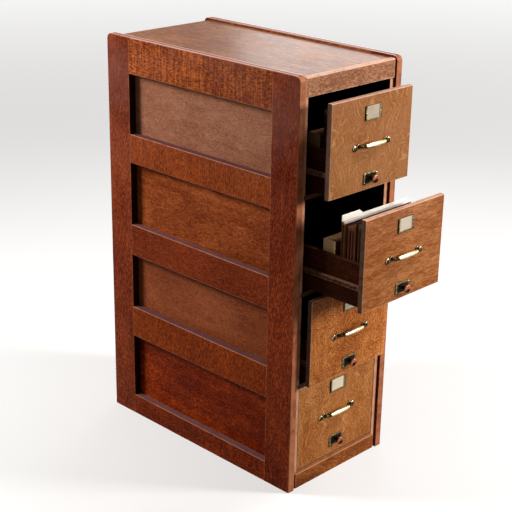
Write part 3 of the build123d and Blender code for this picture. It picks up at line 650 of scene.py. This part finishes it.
def paper_stock(name):
    """Old paper: a tint for each sheet, soft stains, and a fibrous face."""
    material, tree, shader = new_finish(name)
    place = told(tree, "place", "Vector")
    stain = told(tree, "stain", "Color")
    clouds = window(tree, cloud(tree, place, (22, 22, 22), 4.0, 0.6), 0.35, 0.75)
    fibres = cloud(tree, place, (900, 900, 900), 2.0)
    colour = mixed(tree, times(tree, clouds, 0.5), stain, tinted(tree, stain, AGED_TINT))
    tree.links.new(colour, shader.inputs["Base Color"])
    tree.links.new(window(tree, fibres, 0.2, 0.8, 0.75, 0.95), shader.inputs["Roughness"])
    lift_surface(tree, shader, fibres, 0.3, 0.0002)
    shader.inputs["Specular IOR Level"].default_value = 0.1
    return material


def mesh_of(name, solid, shift=0.0):
    """Turns a finished solid into a mesh whose points know their place for the patterns on them."""
    mesh = bpy.data.meshes.new(name)
    solid.to_mesh(mesh)
    solid.free()
    places = [value + shift for vert in mesh.vertices for value in vert.co]
    mesh.attributes.new("place", "FLOAT_VECTOR", "POINT").data.foreach_set("vector", places)
    return mesh


def strip(solid, first, second, turn):
    """Covers the room between two rows of points."""
    for n in range(len(first) - 1):
        solid.faces.new((first[n], first[n + 1], second[n + 1], second[n])[::turn])


def sheet(stack, left, right, foot, top, rear, tint, lean=0.0, bow=0.0, thickness=SHEET_THICKNESS,
          corners_at=(), crown=None, crown_from=0.97):
    """One upright sheet, leaning back and bowed a little, whose top edge may rise into a tab.

    The crown is the colour of its uppermost part, where that isn't the sheet's own.
    """
    rows_up = (0.0, 0.3, 0.6, 0.85, crown_from - 0.005, crown_from, 1.0)
    columns = [left + (right - left) * n / SHEET_COLUMNS for n in range(SHEET_COLUMNS + 1)]
    columns = sorted(columns + list(corners_at))
    layer = stack.verts.layers.float_color["stain"]
    front_rows = []
    rear_rows = []
    for row, up in enumerate(rows_up):
        front_rows.append([])
        rear_rows.append([])
        for x in columns:
            z = foot + (top(x) - foot) * up
            across = 2 * (x - left) / (right - left) - 1
            y = rear + lean * up * up + bow * (1 - across * across) * math.sin(math.pi * up)
            for rows, offset in ((front_rows, -thickness), (rear_rows, 0.0)):
                vert = stack.verts.new((x, y + offset, z))
                vert[layer] = crown if crown and row >= CROWN_ROW else tint
                rows[-1].append(vert)
    for rows, turn in ((front_rows, 1), (rear_rows, -1)):
        for lower, upper in zip(rows, rows[1:]):
            strip(stack, lower, upper, turn)
    for end, turn in ((0, 1), (-1, -1)):
        strip(stack, [row[end] for row in front_rows], [row[end] for row in rear_rows], turn)
        strip(stack, front_rows[end], rear_rows[end], -turn)


def folder(stack, draw, low, high, tab_end, tints):
    """One folder: a front and a rear leaf joined at the foot, and papers between them."""
    cover, filling = tints
    depth = high.y - low.y
    leaf_top = high.z - (TAB_HEIGHT if tab_end else 0.0)
    crown = CHALK if tab_end else None
    lean = draw.uniform(-LEAN, LEAN)
    bow = draw.uniform(0.0, BOW)

    def rear_edge(x):
        """Height of the rear leaf, which slopes up to its tab."""
        if not tab_end:
            return leaf_top
        return leaf_top + TAB_HEIGHT * max(0.0, min(1.0, (tab_end + TAB_SLOPE - x) / TAB_SLOPE))

    sheet(stack, low.x, high.x, low.z, rear_edge, high.y - LEAF_FROM_REAR, cover, lean,
          corners_at=(tab_end, tab_end + TAB_SLOPE) if tab_end else (), crown=crown, crown_from=0.92)
    sheet(stack, low.x, high.x, low.z, lambda x: leaf_top - FRONT_LEAF_DROP, low.y + LEAF_FROM_FRONT, cover,
          lean, crown=crown)
    sheet(stack, low.x, high.x, low.z, lambda x: low.z + SHEET_THICKNESS, high.y - SHEET_THICKNESS, cover,
          thickness=depth - 2 * SHEET_THICKNESS)
    papers = max(2, round(depth / PAPER_PITCH))
    for n in range(papers):
        rear = low.y + PAPERS_FROM_FRONT + (depth - PAPERS_CLEAR) * (n + 1) / papers
        left = low.x + draw.uniform(*PAPER_LEFT_INSET)
        paper_top = leaf_top - draw.uniform(*PAPER_DROP)
        thickness = draw.uniform(*PAPER_THICKNESS)
        tint = tuple(value * draw.uniform(*PAPER_TINTING) for value in filling[:3]) + (1.0,)
        right = high.x - draw.uniform(*PAPER_RIGHT_INSET)
        sheet(stack, left, right, low.z + 0.001, lambda x: paper_top, rear, tint, lean, bow * 0.3, thickness,
              crown=crown)


paper = paper_stock("folder paper")
for number, tints in FOLDER_TINTS.items():
    draw = random.Random(40 + number)
    stack = bmesh.new()
    stack.verts.layers.float_color.new("stain")
    node = f"drawer_{number}_folders"
    shells = sorted(closed_shells(node), key=lambda shell: spread(shell[0])[0].y)
    for (points, faces), pair in zip(shells, tints):
        low, high = spread(points)
        tab_end = max(point[0] for point in points if point[2] > high.z - 0.001)
        folder(stack, draw, low, high, tab_end if tab_end < 0 else None, pair)
    name = f"folders_{number}"
    make_piece(name, mesh_of(name, stack), paper, f"drawer_{number}", "folder_paper", node)

# Label holders: stamped brass frames open at the top, each held by two brass pins, with a card slid in.
# The brass is worn bright on its edges and has darkened in its corners.


def make_metal_skin():
    """Old metal: bright where it is rubbed, tarnished in its hollows and painted darker beneath as shade,
    with fine specks.
    """
    tree, given, out = node_group(
        "metal skin",
        {"Place": VECTOR, "Tarnish and shade": VALUE, "Bright": COLOUR, "Aged": COLOUR, "Tarnish": VALUE},
        {"Colour": COLOUR, "Dullness": VALUE, "Height": VALUE})
    patches = cloud(tree, given["Place"], (130, 130, 130), 3.0, 0.6)
    specks = cloud(tree, given["Place"], (1400, 1400, 1400), 2.0)
    uneven = times(tree, work(tree, "SUBTRACT", patches, 0.5), 0.9)
    reach = work(tree, "ADD", work(tree, "ADD", given["Tarnish and shade"], given["Tarnish"]), uneven)
    share = window(tree, reach, 0.2, 0.9)
    tree.links.new(mixed(tree, share, given["Bright"], given["Aged"]), out["Colour"])
    tree.links.new(work(tree, "ADD", share, times(tree, specks, 0.2)), out["Dullness"])
    tree.links.new(work(tree, "ADD", times(tree, specks, 0.3), patches), out["Height"])
    return tree


metal_skin = make_metal_skin()
DULLING = 0.3
# Painted shade on the undersides of turned and swept brass.
UNDERSIDE_PAINTED_SHADE = 1.5
UNDERSIDE_FROM = 0.4


def metal(name, bright, aged, tarnish=0.0, gloss=0.24):
    """A metal that is bright where it is handled and dull where it isn't."""
    material, tree, shader = new_finish(name)
    skin = wire(tree, "ShaderNodeGroup", {
        "Place": told(tree, "place", "Vector"), "Tarnish and shade": told(tree, "deep"), "Bright": shade(*bright),
        "Aged": shade(*aged), "Tarnish": tarnish}, node_tree=metal_skin)
    tree.links.new(skin["Colour"], shader.inputs["Base Color"])
    roughness = work(tree, "ADD", gloss, times(tree, skin["Dullness"], DULLING))
    tree.links.new(roughness, shader.inputs["Roughness"])
    lift_surface(tree, shader, skin["Height"], 0.2, 0.0003)
    shader.inputs["Metallic"].default_value = 1.0
    return material


def metal_piece(name, solid, body, material, *nodes):
    """Turns a finished solid into a metal piece of the object."""
    bmesh.ops.recalc_face_normals(solid, faces=solid.faces)
    finish_normals(make_piece(name, mesh_of(name, solid), material, body, "brass", *nodes))


def new_metal():
    """An empty solid whose points know how tarnished they are, from lying in a hollow, and how much shade is
    painted on them.
    """
    solid = bmesh.new()
    solid.verts.layers.float.new("deep")
    return solid


def worn_metal(node, arris, deep):
    """A node's own solids, with their arrises eased and their depths told by a rule."""
    solid = new_metal()
    layer = solid.verts.layers.float["deep"]
    for points, faces in closed_shells(node):
        shape = eased(points, faces, arris)
        made = {}
        for vert in shape.verts:
            made[vert] = solid.verts.new(vert.co)
            made[vert][layer] = deep(vert.co)
        for face in shape.faces:
            solid.faces.new([made[vert] for vert in face.verts])
        shape.free()
    return solid


def skin_over(solid, rings, deep):
    """Covers a row of rings, each of as many points, and closes both ends; each ring's underside gets
    painted shade.
    """
    layer = solid.verts.layers.float["deep"]
    rows = []
    for ring, depth in zip(rings, deep):
        row = [solid.verts.new(point) for point in ring]
        lowest = min(point[2] for point in ring)
        highest = max(point[2] for point in ring)
        for vert, point in zip(row, ring):
            underside = (highest - point[2]) / (highest - lowest)
            vert[layer] = depth + UNDERSIDE_PAINTED_SHADE * max(0.0, underside - UNDERSIDE_FROM)
        rows.append(row)
    for first, second in zip(rows, rows[1:]):
        for n in range(len(first)):
            solid.faces.new((first[n - 1], first[n], second[n], second[n - 1]))
    solid.faces.new(rows[0][::-1])
    solid.faces.new(rows[-1])


def circle(sides):
    """The ways out from a middle to each corner of a ring."""
    angles = [2 * math.pi * n / sides for n in range(sides)]
    return [(math.cos(a), math.sin(a)) for a in angles]


def turned(solid, place, profile, sides=28):
    """A turned form about the drawer's depth: each row is its radius, its way forwards and its depth."""
    rings = [[place + Vector((radius * x, -forwards, radius * z)) for x, z in circle(sides)]
             for radius, forwards, deep in profile]
    skin_over(solid, rings, [deep for radius, forwards, deep in profile])


FLANGE = 0.007
HOLDER_ARRIS = 0.0004
FACE_WITHIN = 0.0006
CARD_HALF = 0.03
CARD_BOW = 0.0002
PIN_PROFILE = ((0.0015, -0.001, 1.0), (0.0015, 0.0002, 0.5), (0.0009, 0.0005, 0.0))
# Card colours carry painted light: the lowest drawer's card is painted brightest, the top one's darkest.
CARDS_PAINTED_LIGHT = (shade(178, 163, 143), shade(200, 186, 168), shade(206, 194, 170), shade(236, 224, 196))
brass = metal("brass", (204, 188, 144), (46, 34, 16))
dull_brass = metal("dull brass", (148, 136, 98), (32, 24, 14), tarnish=0.36, gloss=0.34)
card_stock = paper_stock("label card")
for number, drawer in enumerate(DRAWERS, 1):
    node = f"{drawer}_label_holder"
    low, high = box_corners(node)

    def holder_depth(point):
        """Tarnish lies behind the face, and thinner on the flanges."""
        if point.y > low.y + FACE_WITHIN:
            return 1.0
        return 0.5 if abs(point.x) > CARD_HALF else 0.0

    solid = worn_metal(node, HOLDER_ARRIS, holder_depth)
    metal_piece(f"label_holder_{number}", solid, drawer, dull_brass, node)
    pins = new_metal()
    for x in (low.x + FLANGE / 2, high.x - FLANGE / 2):
        turned(pins, Vector((x, low.y, (low.z + high.z) / 2)), PIN_PROFILE, 12)
    metal_piece(f"label_pins_{number}", pins, drawer, brass)

    node = f"{drawer}_label_card"
    low, high = box_corners(node)
    card = bmesh.new()
    card.verts.layers.float_color.new("stain")
    sheet(card, low.x, high.x, low.z, lambda x: high.z, high.y, CARDS_PAINTED_LIGHT[number - 1], bow=-CARD_BOW,
          thickness=high.y - low.y - CARD_BOW)
    name = f"label_card_{number}"
    make_piece(name, mesh_of(name, card, number), card_stock, drawer, "card", node)

# Pulls: cast brass, with a swelling grip on two curved arms, each arm rising from a round lobe beside
# a dished rosette. A slotted screw holds each rosette, and hands have kept the grip bright.

SCREW_HALF_SPAN = 0.075
SCREW_DROP = 0.005
SCREW_RADIUS = 0.0042
SCREW_HEIGHT = 0.002
SCREW_SEAT = 0.0016
LOBE_HALF_SPAN = 0.061
LOBE_RADIUS = 0.008
GRIP_HALF = 0.048
GRIP_STANDOFF = 0.015
GRIP_MIDDLE = 0.0084
GRIP_END = 0.0046
GRIP_STEPS = 26
GRIP_SIDES = 24
COLLAR_RISE = 0.0009
COLLAR_DEPTH = 0.9
COLLAR_STARTS = 0.9
COLLAR_SPAN = (0.92, 0.98)
ROSETTE = ((0.0095, 0.0, 1.2), (0.0095, 0.0012, 0.9), (0.0091, 0.0022, 0.5), (0.0082, 0.003, 0.2),
           (0.0074, 0.0032, 0.2), (0.0068, 0.003, 0.6), (0.0062, 0.0022, 1.2), (0.005, 0.0018, 1.3),
           (0.0005, 0.0018, 1.3))
LOBE = ((0.008, 0.0, 1.2), (0.008, 0.0016, 0.9), (0.0076, 0.003, 0.6), (0.0068, 0.0038, 0.6),
        (0.0056, 0.004, 1.0), (0.0005, 0.004, 1.2))
ARM_RADII = (0.006, 0.0052, 0.0044, 0.004, 0.0038, 0.0039, 0.0042)
ARM_DEPTHS = (1.3, 1.2, 1.0, 0.8, 0.8, 0.9, 1.0)
ARM_SIDES = 20
UPWARDS = Vector((0, 0, 1))
HEAD_SIDES = 20
HEAD_DISC = 0.45
HEAD_STEPS = ((0.995, 0.4, 0.6), (0.97, 0.7, 0.3), (0.8, 0.95, 0.1), (0.55, 1.0, 0.0))
SLOT_SHARE = 0.14
steel = metal("screw steel", (84, 74, 60), (26, 20, 14), tarnish=0.3, gloss=0.34)


def slotted_head(solid, place, radius, height, turn):
    """A screw's head: a low disc, and on it two rounded halves with the slot between them."""
    disc = height * HEAD_DISC
    turned(solid, place, ((radius, 0.0, 1.0), (radius, disc, 0.8), (radius * 0.2, disc, 1.0)), HEAD_SIDES)
    for side in (1, -1):
        rings = []
        for scale, rise, deep in HEAD_STEPS:
            ring = []
            for n in range(11):
                angle = math.pi * n / 10
                along = radius * scale * math.cos(angle)
                across = side * max(radius * SLOT_SHARE, radius * scale * math.sin(angle))
                x = along * math.cos(turn) - across * math.sin(turn)
                z = along * math.sin(turn) + across * math.cos(turn)
                ring.append(place + Vector((x, -height * rise, z)))
            rings.append(ring)
        skin_over(solid, rings, [deep for scale, rise, deep in HEAD_STEPS])


def curved_arm(solid, middle, side):
    """The arm: it leaves its lobe square to the front and bends over into the grip."""
    start = Vector((side * LOBE_HALF_SPAN, -0.001, 0))
    rise = Vector((side * LOBE_HALF_SPAN, -0.0085, 0))
    bend = Vector((side * (GRIP_HALF + 0.0075), -GRIP_STANDOFF, 0))
    finish = Vector((side * GRIP_HALF, -GRIP_STANDOFF, 0))
    rings = []
    for n, radius in enumerate(ARM_RADII):
        t = n / (len(ARM_RADII) - 1)
        left = 1 - t
        spot = left ** 3 * start + 3 * left ** 2 * t * rise + 3 * left * t * t * bend + t ** 3 * finish
        course = left ** 2 * (rise - start) + 2 * left * t * (bend - rise) + t * t * (finish - bend)
        course.normalize()
        across = UPWARDS.cross(course)
        rings.append([middle + spot + radius * (x * across + z * UPWARDS) for x, z in circle(ARM_SIDES)])
    skin_over(solid, rings, ARM_DEPTHS)


def grip(solid, middle):
    """The grip: it swells to its middle, with a collar at each end."""
    rings = []
    deep = []
    for n in range(GRIP_STEPS + 1):
        along = -1 + 2 * n / GRIP_STEPS
        radius = GRIP_END + (GRIP_MIDDLE - GRIP_END) * (1 - along * along)
        at_collar = abs(along) > COLLAR_STARTS
        if at_collar:
            radius = GRIP_END + (COLLAR_RISE if COLLAR_SPAN[0] < abs(along) < COLLAR_SPAN[1] else 0.0)
        rings.append([middle + Vector((along * GRIP_HALF, -GRIP_STANDOFF + radius * y, radius * z))
                      for y, z in circle(GRIP_SIDES)])
        deep.append(COLLAR_DEPTH if at_collar else 0.0)
    skin_over(solid, rings, deep)


for number, drawer in enumerate(DRAWERS, 1):
    draw = random.Random(60 + number)
    node = f"{drawer}_pull"
    front_low, front_high = box_corners(f"{drawer}_front")
    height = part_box(node)[1][2] - LOBE_RADIUS
    middle = Vector(((front_low.x + front_high.x) / 2, front_low.y, height))
    solid = new_metal()
    screws = new_metal()
    for side in (-1, 1):
        seat = middle + Vector((side * SCREW_HALF_SPAN, 0, -SCREW_DROP))
        turned(solid, seat, ROSETTE)
        turned(solid, middle + Vector((side * LOBE_HALF_SPAN, 0, 0)), LOBE)
        curved_arm(solid, middle, side)
        slotted_head(screws, seat + Vector((0, -SCREW_SEAT, 0)), SCREW_RADIUS, SCREW_HEIGHT,
                     draw.uniform(0, math.pi))
    grip(solid, middle)
    metal_piece(f"pull_{number}", solid, drawer, brass, node)
    metal_piece(f"pull_screws_{number}", screws, drawer, steel)

# Latch plates: flat brass with a bevelled edge, dark where nobody wipes, held by four small screws.
# The knob's spindle passes through the middle of each, and tarnish with a painted shadow darkens the plate
# round it.

PLATE_SCREW_INSET = 0.0045
PLATE_SCREW_RADIUS = 0.0022
PLATE_SCREW_HEIGHT = 0.001
PLATE_SCREW_SINK = 0.0004
PLATE_EDGE = 0.0012
TARNISH_AND_SHADOW_RING = 0.016
TARNISH_AND_SHADOW_FULL = 1.4

for number, drawer in enumerate(DRAWERS, 1):
    draw = random.Random(70 + number)
    node = f"{drawer}_latch_plate"
    low, high = box_corners(node)
    middle = (low + high) / 2

    def plate_tarnish_and_shadow(point):
        """Tarnish and a painted shadow of the knob darken the plate round its neck; the side faces are
        tarnished.
        """
        away = math.hypot(point.x - middle.x, point.z - middle.z) / TARNISH_AND_SHADOW_RING
        return max(TARNISH_AND_SHADOW_FULL - min(TARNISH_AND_SHADOW_FULL, away), 0.8 if point.y > low.y + PLATE_EDGE else 0.2)

    metal_piece(f"latch_plate_{number}", worn_metal(node, 0, plate_tarnish_and_shadow), drawer, dull_brass, node)
    screws = new_metal()
    for x in (low.x + PLATE_SCREW_INSET, high.x - PLATE_SCREW_INSET):
        for z in (low.z + PLATE_SCREW_INSET, high.z - PLATE_SCREW_INSET):
            slotted_head(screws, Vector((x, low.y + PLATE_SCREW_SINK, z)), PLATE_SCREW_RADIUS,
                         PLATE_SCREW_HEIGHT, draw.uniform(0, math.pi))
    metal_piece(f"latch_screws_{number}", screws, drawer, brass)

# Latch knobs: turned brass mushrooms on a spindle, with a nut and a flat tongue behind the front.
# Their faces have turned red-brown, and the rims are rubbed bright.

SPINDLE_RADIUS = 0.004
CAP = ((0.0004, 0.0012, 0.5), (0.004, 0.0011, 0.5), (0.0085, 0.0007, 0.5), (0.0105, 0.0006, 0.3),
       (0.0115, 0.0012, 0.0), (0.0122, 0.0026, 0.0), (0.0125, 0.0045, 0.1), (0.0121, 0.0064, 0.4),
       (0.0095, 0.0086, 0.8), (0.0068, 0.0106, 1.0), (0.0054, 0.0125, 1.0), (0.005, 0.016, 1.0))
NECK = ((0.0052, 0.002, 1.0), (0.0062, 0.0012, 1.0), (0.0062, 0.0003, 1.0),
        (SPINDLE_RADIUS, 0.0003, 1.0))
NUT = ((0.94, 0.0025, 0.9), (1.0, 0.0022, 0.6), (1.0, 0.0007, 0.4), (0.94, 0.0004, 0.3))
NUT_RADIUS = 0.0065
NUT_THICKNESS = 0.0025
TONGUE_HALF = 0.005
TONGUE_THICKNESS = 0.003
TONGUE_CORNER = 0.002
TONGUE_EDGE = 0.0004
BEND_STEPS = 8
knob_brass = metal("knob brass", (176, 106, 80), (36, 18, 12), gloss=0.36)


def tongue_ring(spindle, tip, y, inset):
    """The tongue's outline: round about the spindle, with softened corners at its tip."""
    half = TONGUE_HALF - inset
    bend = half - TONGUE_CORNER
    tip_x = tip - inset - TONGUE_CORNER
    ring = []
    for x, z, radius, first, last in ((spindle.x, spindle.z, half, 0.5, 1.5),
                                      (tip_x, spindle.z - bend, TONGUE_CORNER, 1.5, 2.0),
                                      (tip_x, spindle.z + bend, TONGUE_CORNER, 0.0, 0.5)):
        for n in range(BEND_STEPS + 1):
            angle = math.pi * (first + (last - first) * n / BEND_STEPS)
            ring.append((x + radius * math.cos(angle), y, z + radius * math.sin(angle)))
    return ring


for number, drawer in enumerate(DRAWERS, 1):
    node = f"{drawer}_latch_knob"
    low, high = box_corners(node)
    plate_low, plate_high = box_corners(f"{drawer}_latch_plate")
    centre = (plate_low + plate_high) / 2
    centre.y = plate_low.y
    reach = centre.y - low.y
    rear = centre.y - high.y
    knob = new_metal()
    profile = [(radius, reach - back, deep) for radius, back, deep in CAP] + list(NECK)
    profile += [(SPINDLE_RADIUS, rear + 0.0003, 1.0), (SPINDLE_RADIUS * 0.85, rear, 0.6)]
    turned(knob, centre, profile, 32)
    metal_piece(f"latch_knob_{number}", knob, f"{drawer}_latch", knob_brass, node)
    works = new_metal()
    turned(works, centre, [(NUT_RADIUS * share, rear + rise, deep) for share, rise, deep in NUT], 6)
    tongue_back = high.y - NUT_THICKNESS
    tongue_front = tongue_back - TONGUE_THICKNESS
    outline = ((tongue_front, TONGUE_EDGE), (tongue_front + TONGUE_EDGE, 0.0),
               (tongue_back - TONGUE_EDGE, 0.0), (tongue_back, TONGUE_EDGE))
    rings = [tongue_ring(centre, high.x, y, inset) for y, inset in outline]
    skin_over(works, rings, (0.6, 0.3, 0.3, 0.6))
    metal_piece(f"latch_works_{number}", works, f"{drawer}_latch", dull_brass)

# Floor, light and camera: a plain pale floor under four soft lamps and a faint sky, seen as the
# photograph was taken. The floor and the sky look pale, but throw back less light than they show.

CAMERA_PLACE = Vector((-2.7123, -2.6938, 2.0858))
CAMERA_TURN = 0.7966
CAMERA_TILT = -0.3667
CAMERA_ROLL = 0.0178
CAMERA_LENS = 87.67
SENSOR_WIDTH = 36.0
FARTHEST_SEEN = 200.0
FLOOR_HALF = 40.0
GLOW_STARTS = 1.0
GLOW_FULL = 12.0
SKY_LIGHT = 0.14
LAMPS = (("key", (3.0, -3.9, 2.1), (0.0, -0.4, 0.8), 0.9, 0.9, 236.0),
         ("side", (-1.75, 1.8, 2.3), (-0.2, 0.2, 0.9), 0.9, 0.9, 88.0),
         ("sheen", (2.5, 1.78, 2.0), (0.1, -0.1, 1.3), 1.1, 0.8, 14.6),
         ("over", (1.5, -1.5, 3.2), (0.0, -0.6, 1.0), 0.7, 0.7, 57.0))


def seen_itself(tree):
    """Whether a ray shows a thing itself, and doesn't only carry its light to another."""
    rays = wire(tree, "ShaderNodeLightPath")
    onward = work(tree, "MAXIMUM", rays["Is Glossy Ray"], rays["Is Transmission Ray"])
    return work(tree, "MAXIMUM", rays["Is Camera Ray"], onward)


floor_mesh = bpy.data.meshes.new("floor")
floor_corners = [(x * FLOOR_HALF, y * FLOOR_HALF, 0) for x, y in ((-1, -1), (1, -1), (1, 1), (-1, 1))]
floor_mesh.from_pydata(floor_corners, [], [(0, 1, 2, 3)])
floor = new_object("floor", floor_mesh)
floor_paint, tree, shader = new_finish("floor paint")
seen = seen_itself(tree)
tree.links.new(mixed(tree, seen, shade(110, 108, 106), shade(190, 189, 187)), shader.inputs["Base Color"])
spot = wire(tree, "ShaderNodeNewGeometry")["Position"]
away = wire(tree, "ShaderNodeVectorMath", {0: spot}, operation="LENGTH")["Value"]
glow = mixed(tree, window(tree, away, GLOW_STARTS, GLOW_FULL), shade(172, 171, 170), shade(240, 240, 240))
tree.links.new(mixed(tree, seen, (0.0, 0.0, 0.0, 1.0), glow), shader.inputs["Emission Color"])
shader.inputs["Emission Strength"].default_value = 1.0
shader.inputs["Roughness"].default_value = 0.9
floor_mesh.materials.append(floor_paint)

for name, place, aim, width, height, power in LAMPS:
    lamp = bpy.data.lights.new(name, "AREA")
    lamp.shape = "RECTANGLE"
    lamp.size = width
    lamp.size_y = height
    lamp.energy = power
    stand = new_object(name, lamp)
    stand.location = place
    stand.rotation_euler = (Vector(aim) - Vector(place)).to_track_quat("-Z", "Y").to_euler()
    stand.visible_camera = False

world = bpy.data.worlds.new("studio")
bpy.context.scene.world = world
world.use_nodes = True
sky = world.node_tree
sky.nodes.clear()
soft = wire(sky, "ShaderNodeBackground", {0: (1.0, 0.98, 0.96, 1.0), 1: SKY_LIGHT})[0]
pale = wire(sky, "ShaderNodeBackground", {0: (0.9, 0.9, 0.9, 1.0), 1: 1.0})[0]
both = wire(sky, "ShaderNodeMixShader", {0: seen_itself(sky), 1: soft, 2: pale})[0]
wire(sky, "ShaderNodeOutputWorld", {0: both})

forward = Vector((math.sin(CAMERA_TURN) * math.cos(CAMERA_TILT),
                  math.cos(CAMERA_TURN) * math.cos(CAMERA_TILT), math.sin(CAMERA_TILT)))
level = Vector((math.cos(CAMERA_TURN), -math.sin(CAMERA_TURN), 0.0))
upright = level.cross(forward)
right = math.cos(CAMERA_ROLL) * level + math.sin(CAMERA_ROLL) * upright
up = math.cos(CAMERA_ROLL) * upright - math.sin(CAMERA_ROLL) * level
lens = bpy.data.cameras.new("camera")
lens.lens = CAMERA_LENS
lens.sensor_width = SENSOR_WIDTH
lens.clip_end = FARTHEST_SEEN
camera = new_object("camera", lens)
camera.matrix_world = Matrix.Translation(CAMERA_PLACE) @ Matrix((right, up, -forward)).transposed().to_4x4()
bpy.context.scene.camera = camera
bpy.context.scene.view_settings.view_transform = "Standard"
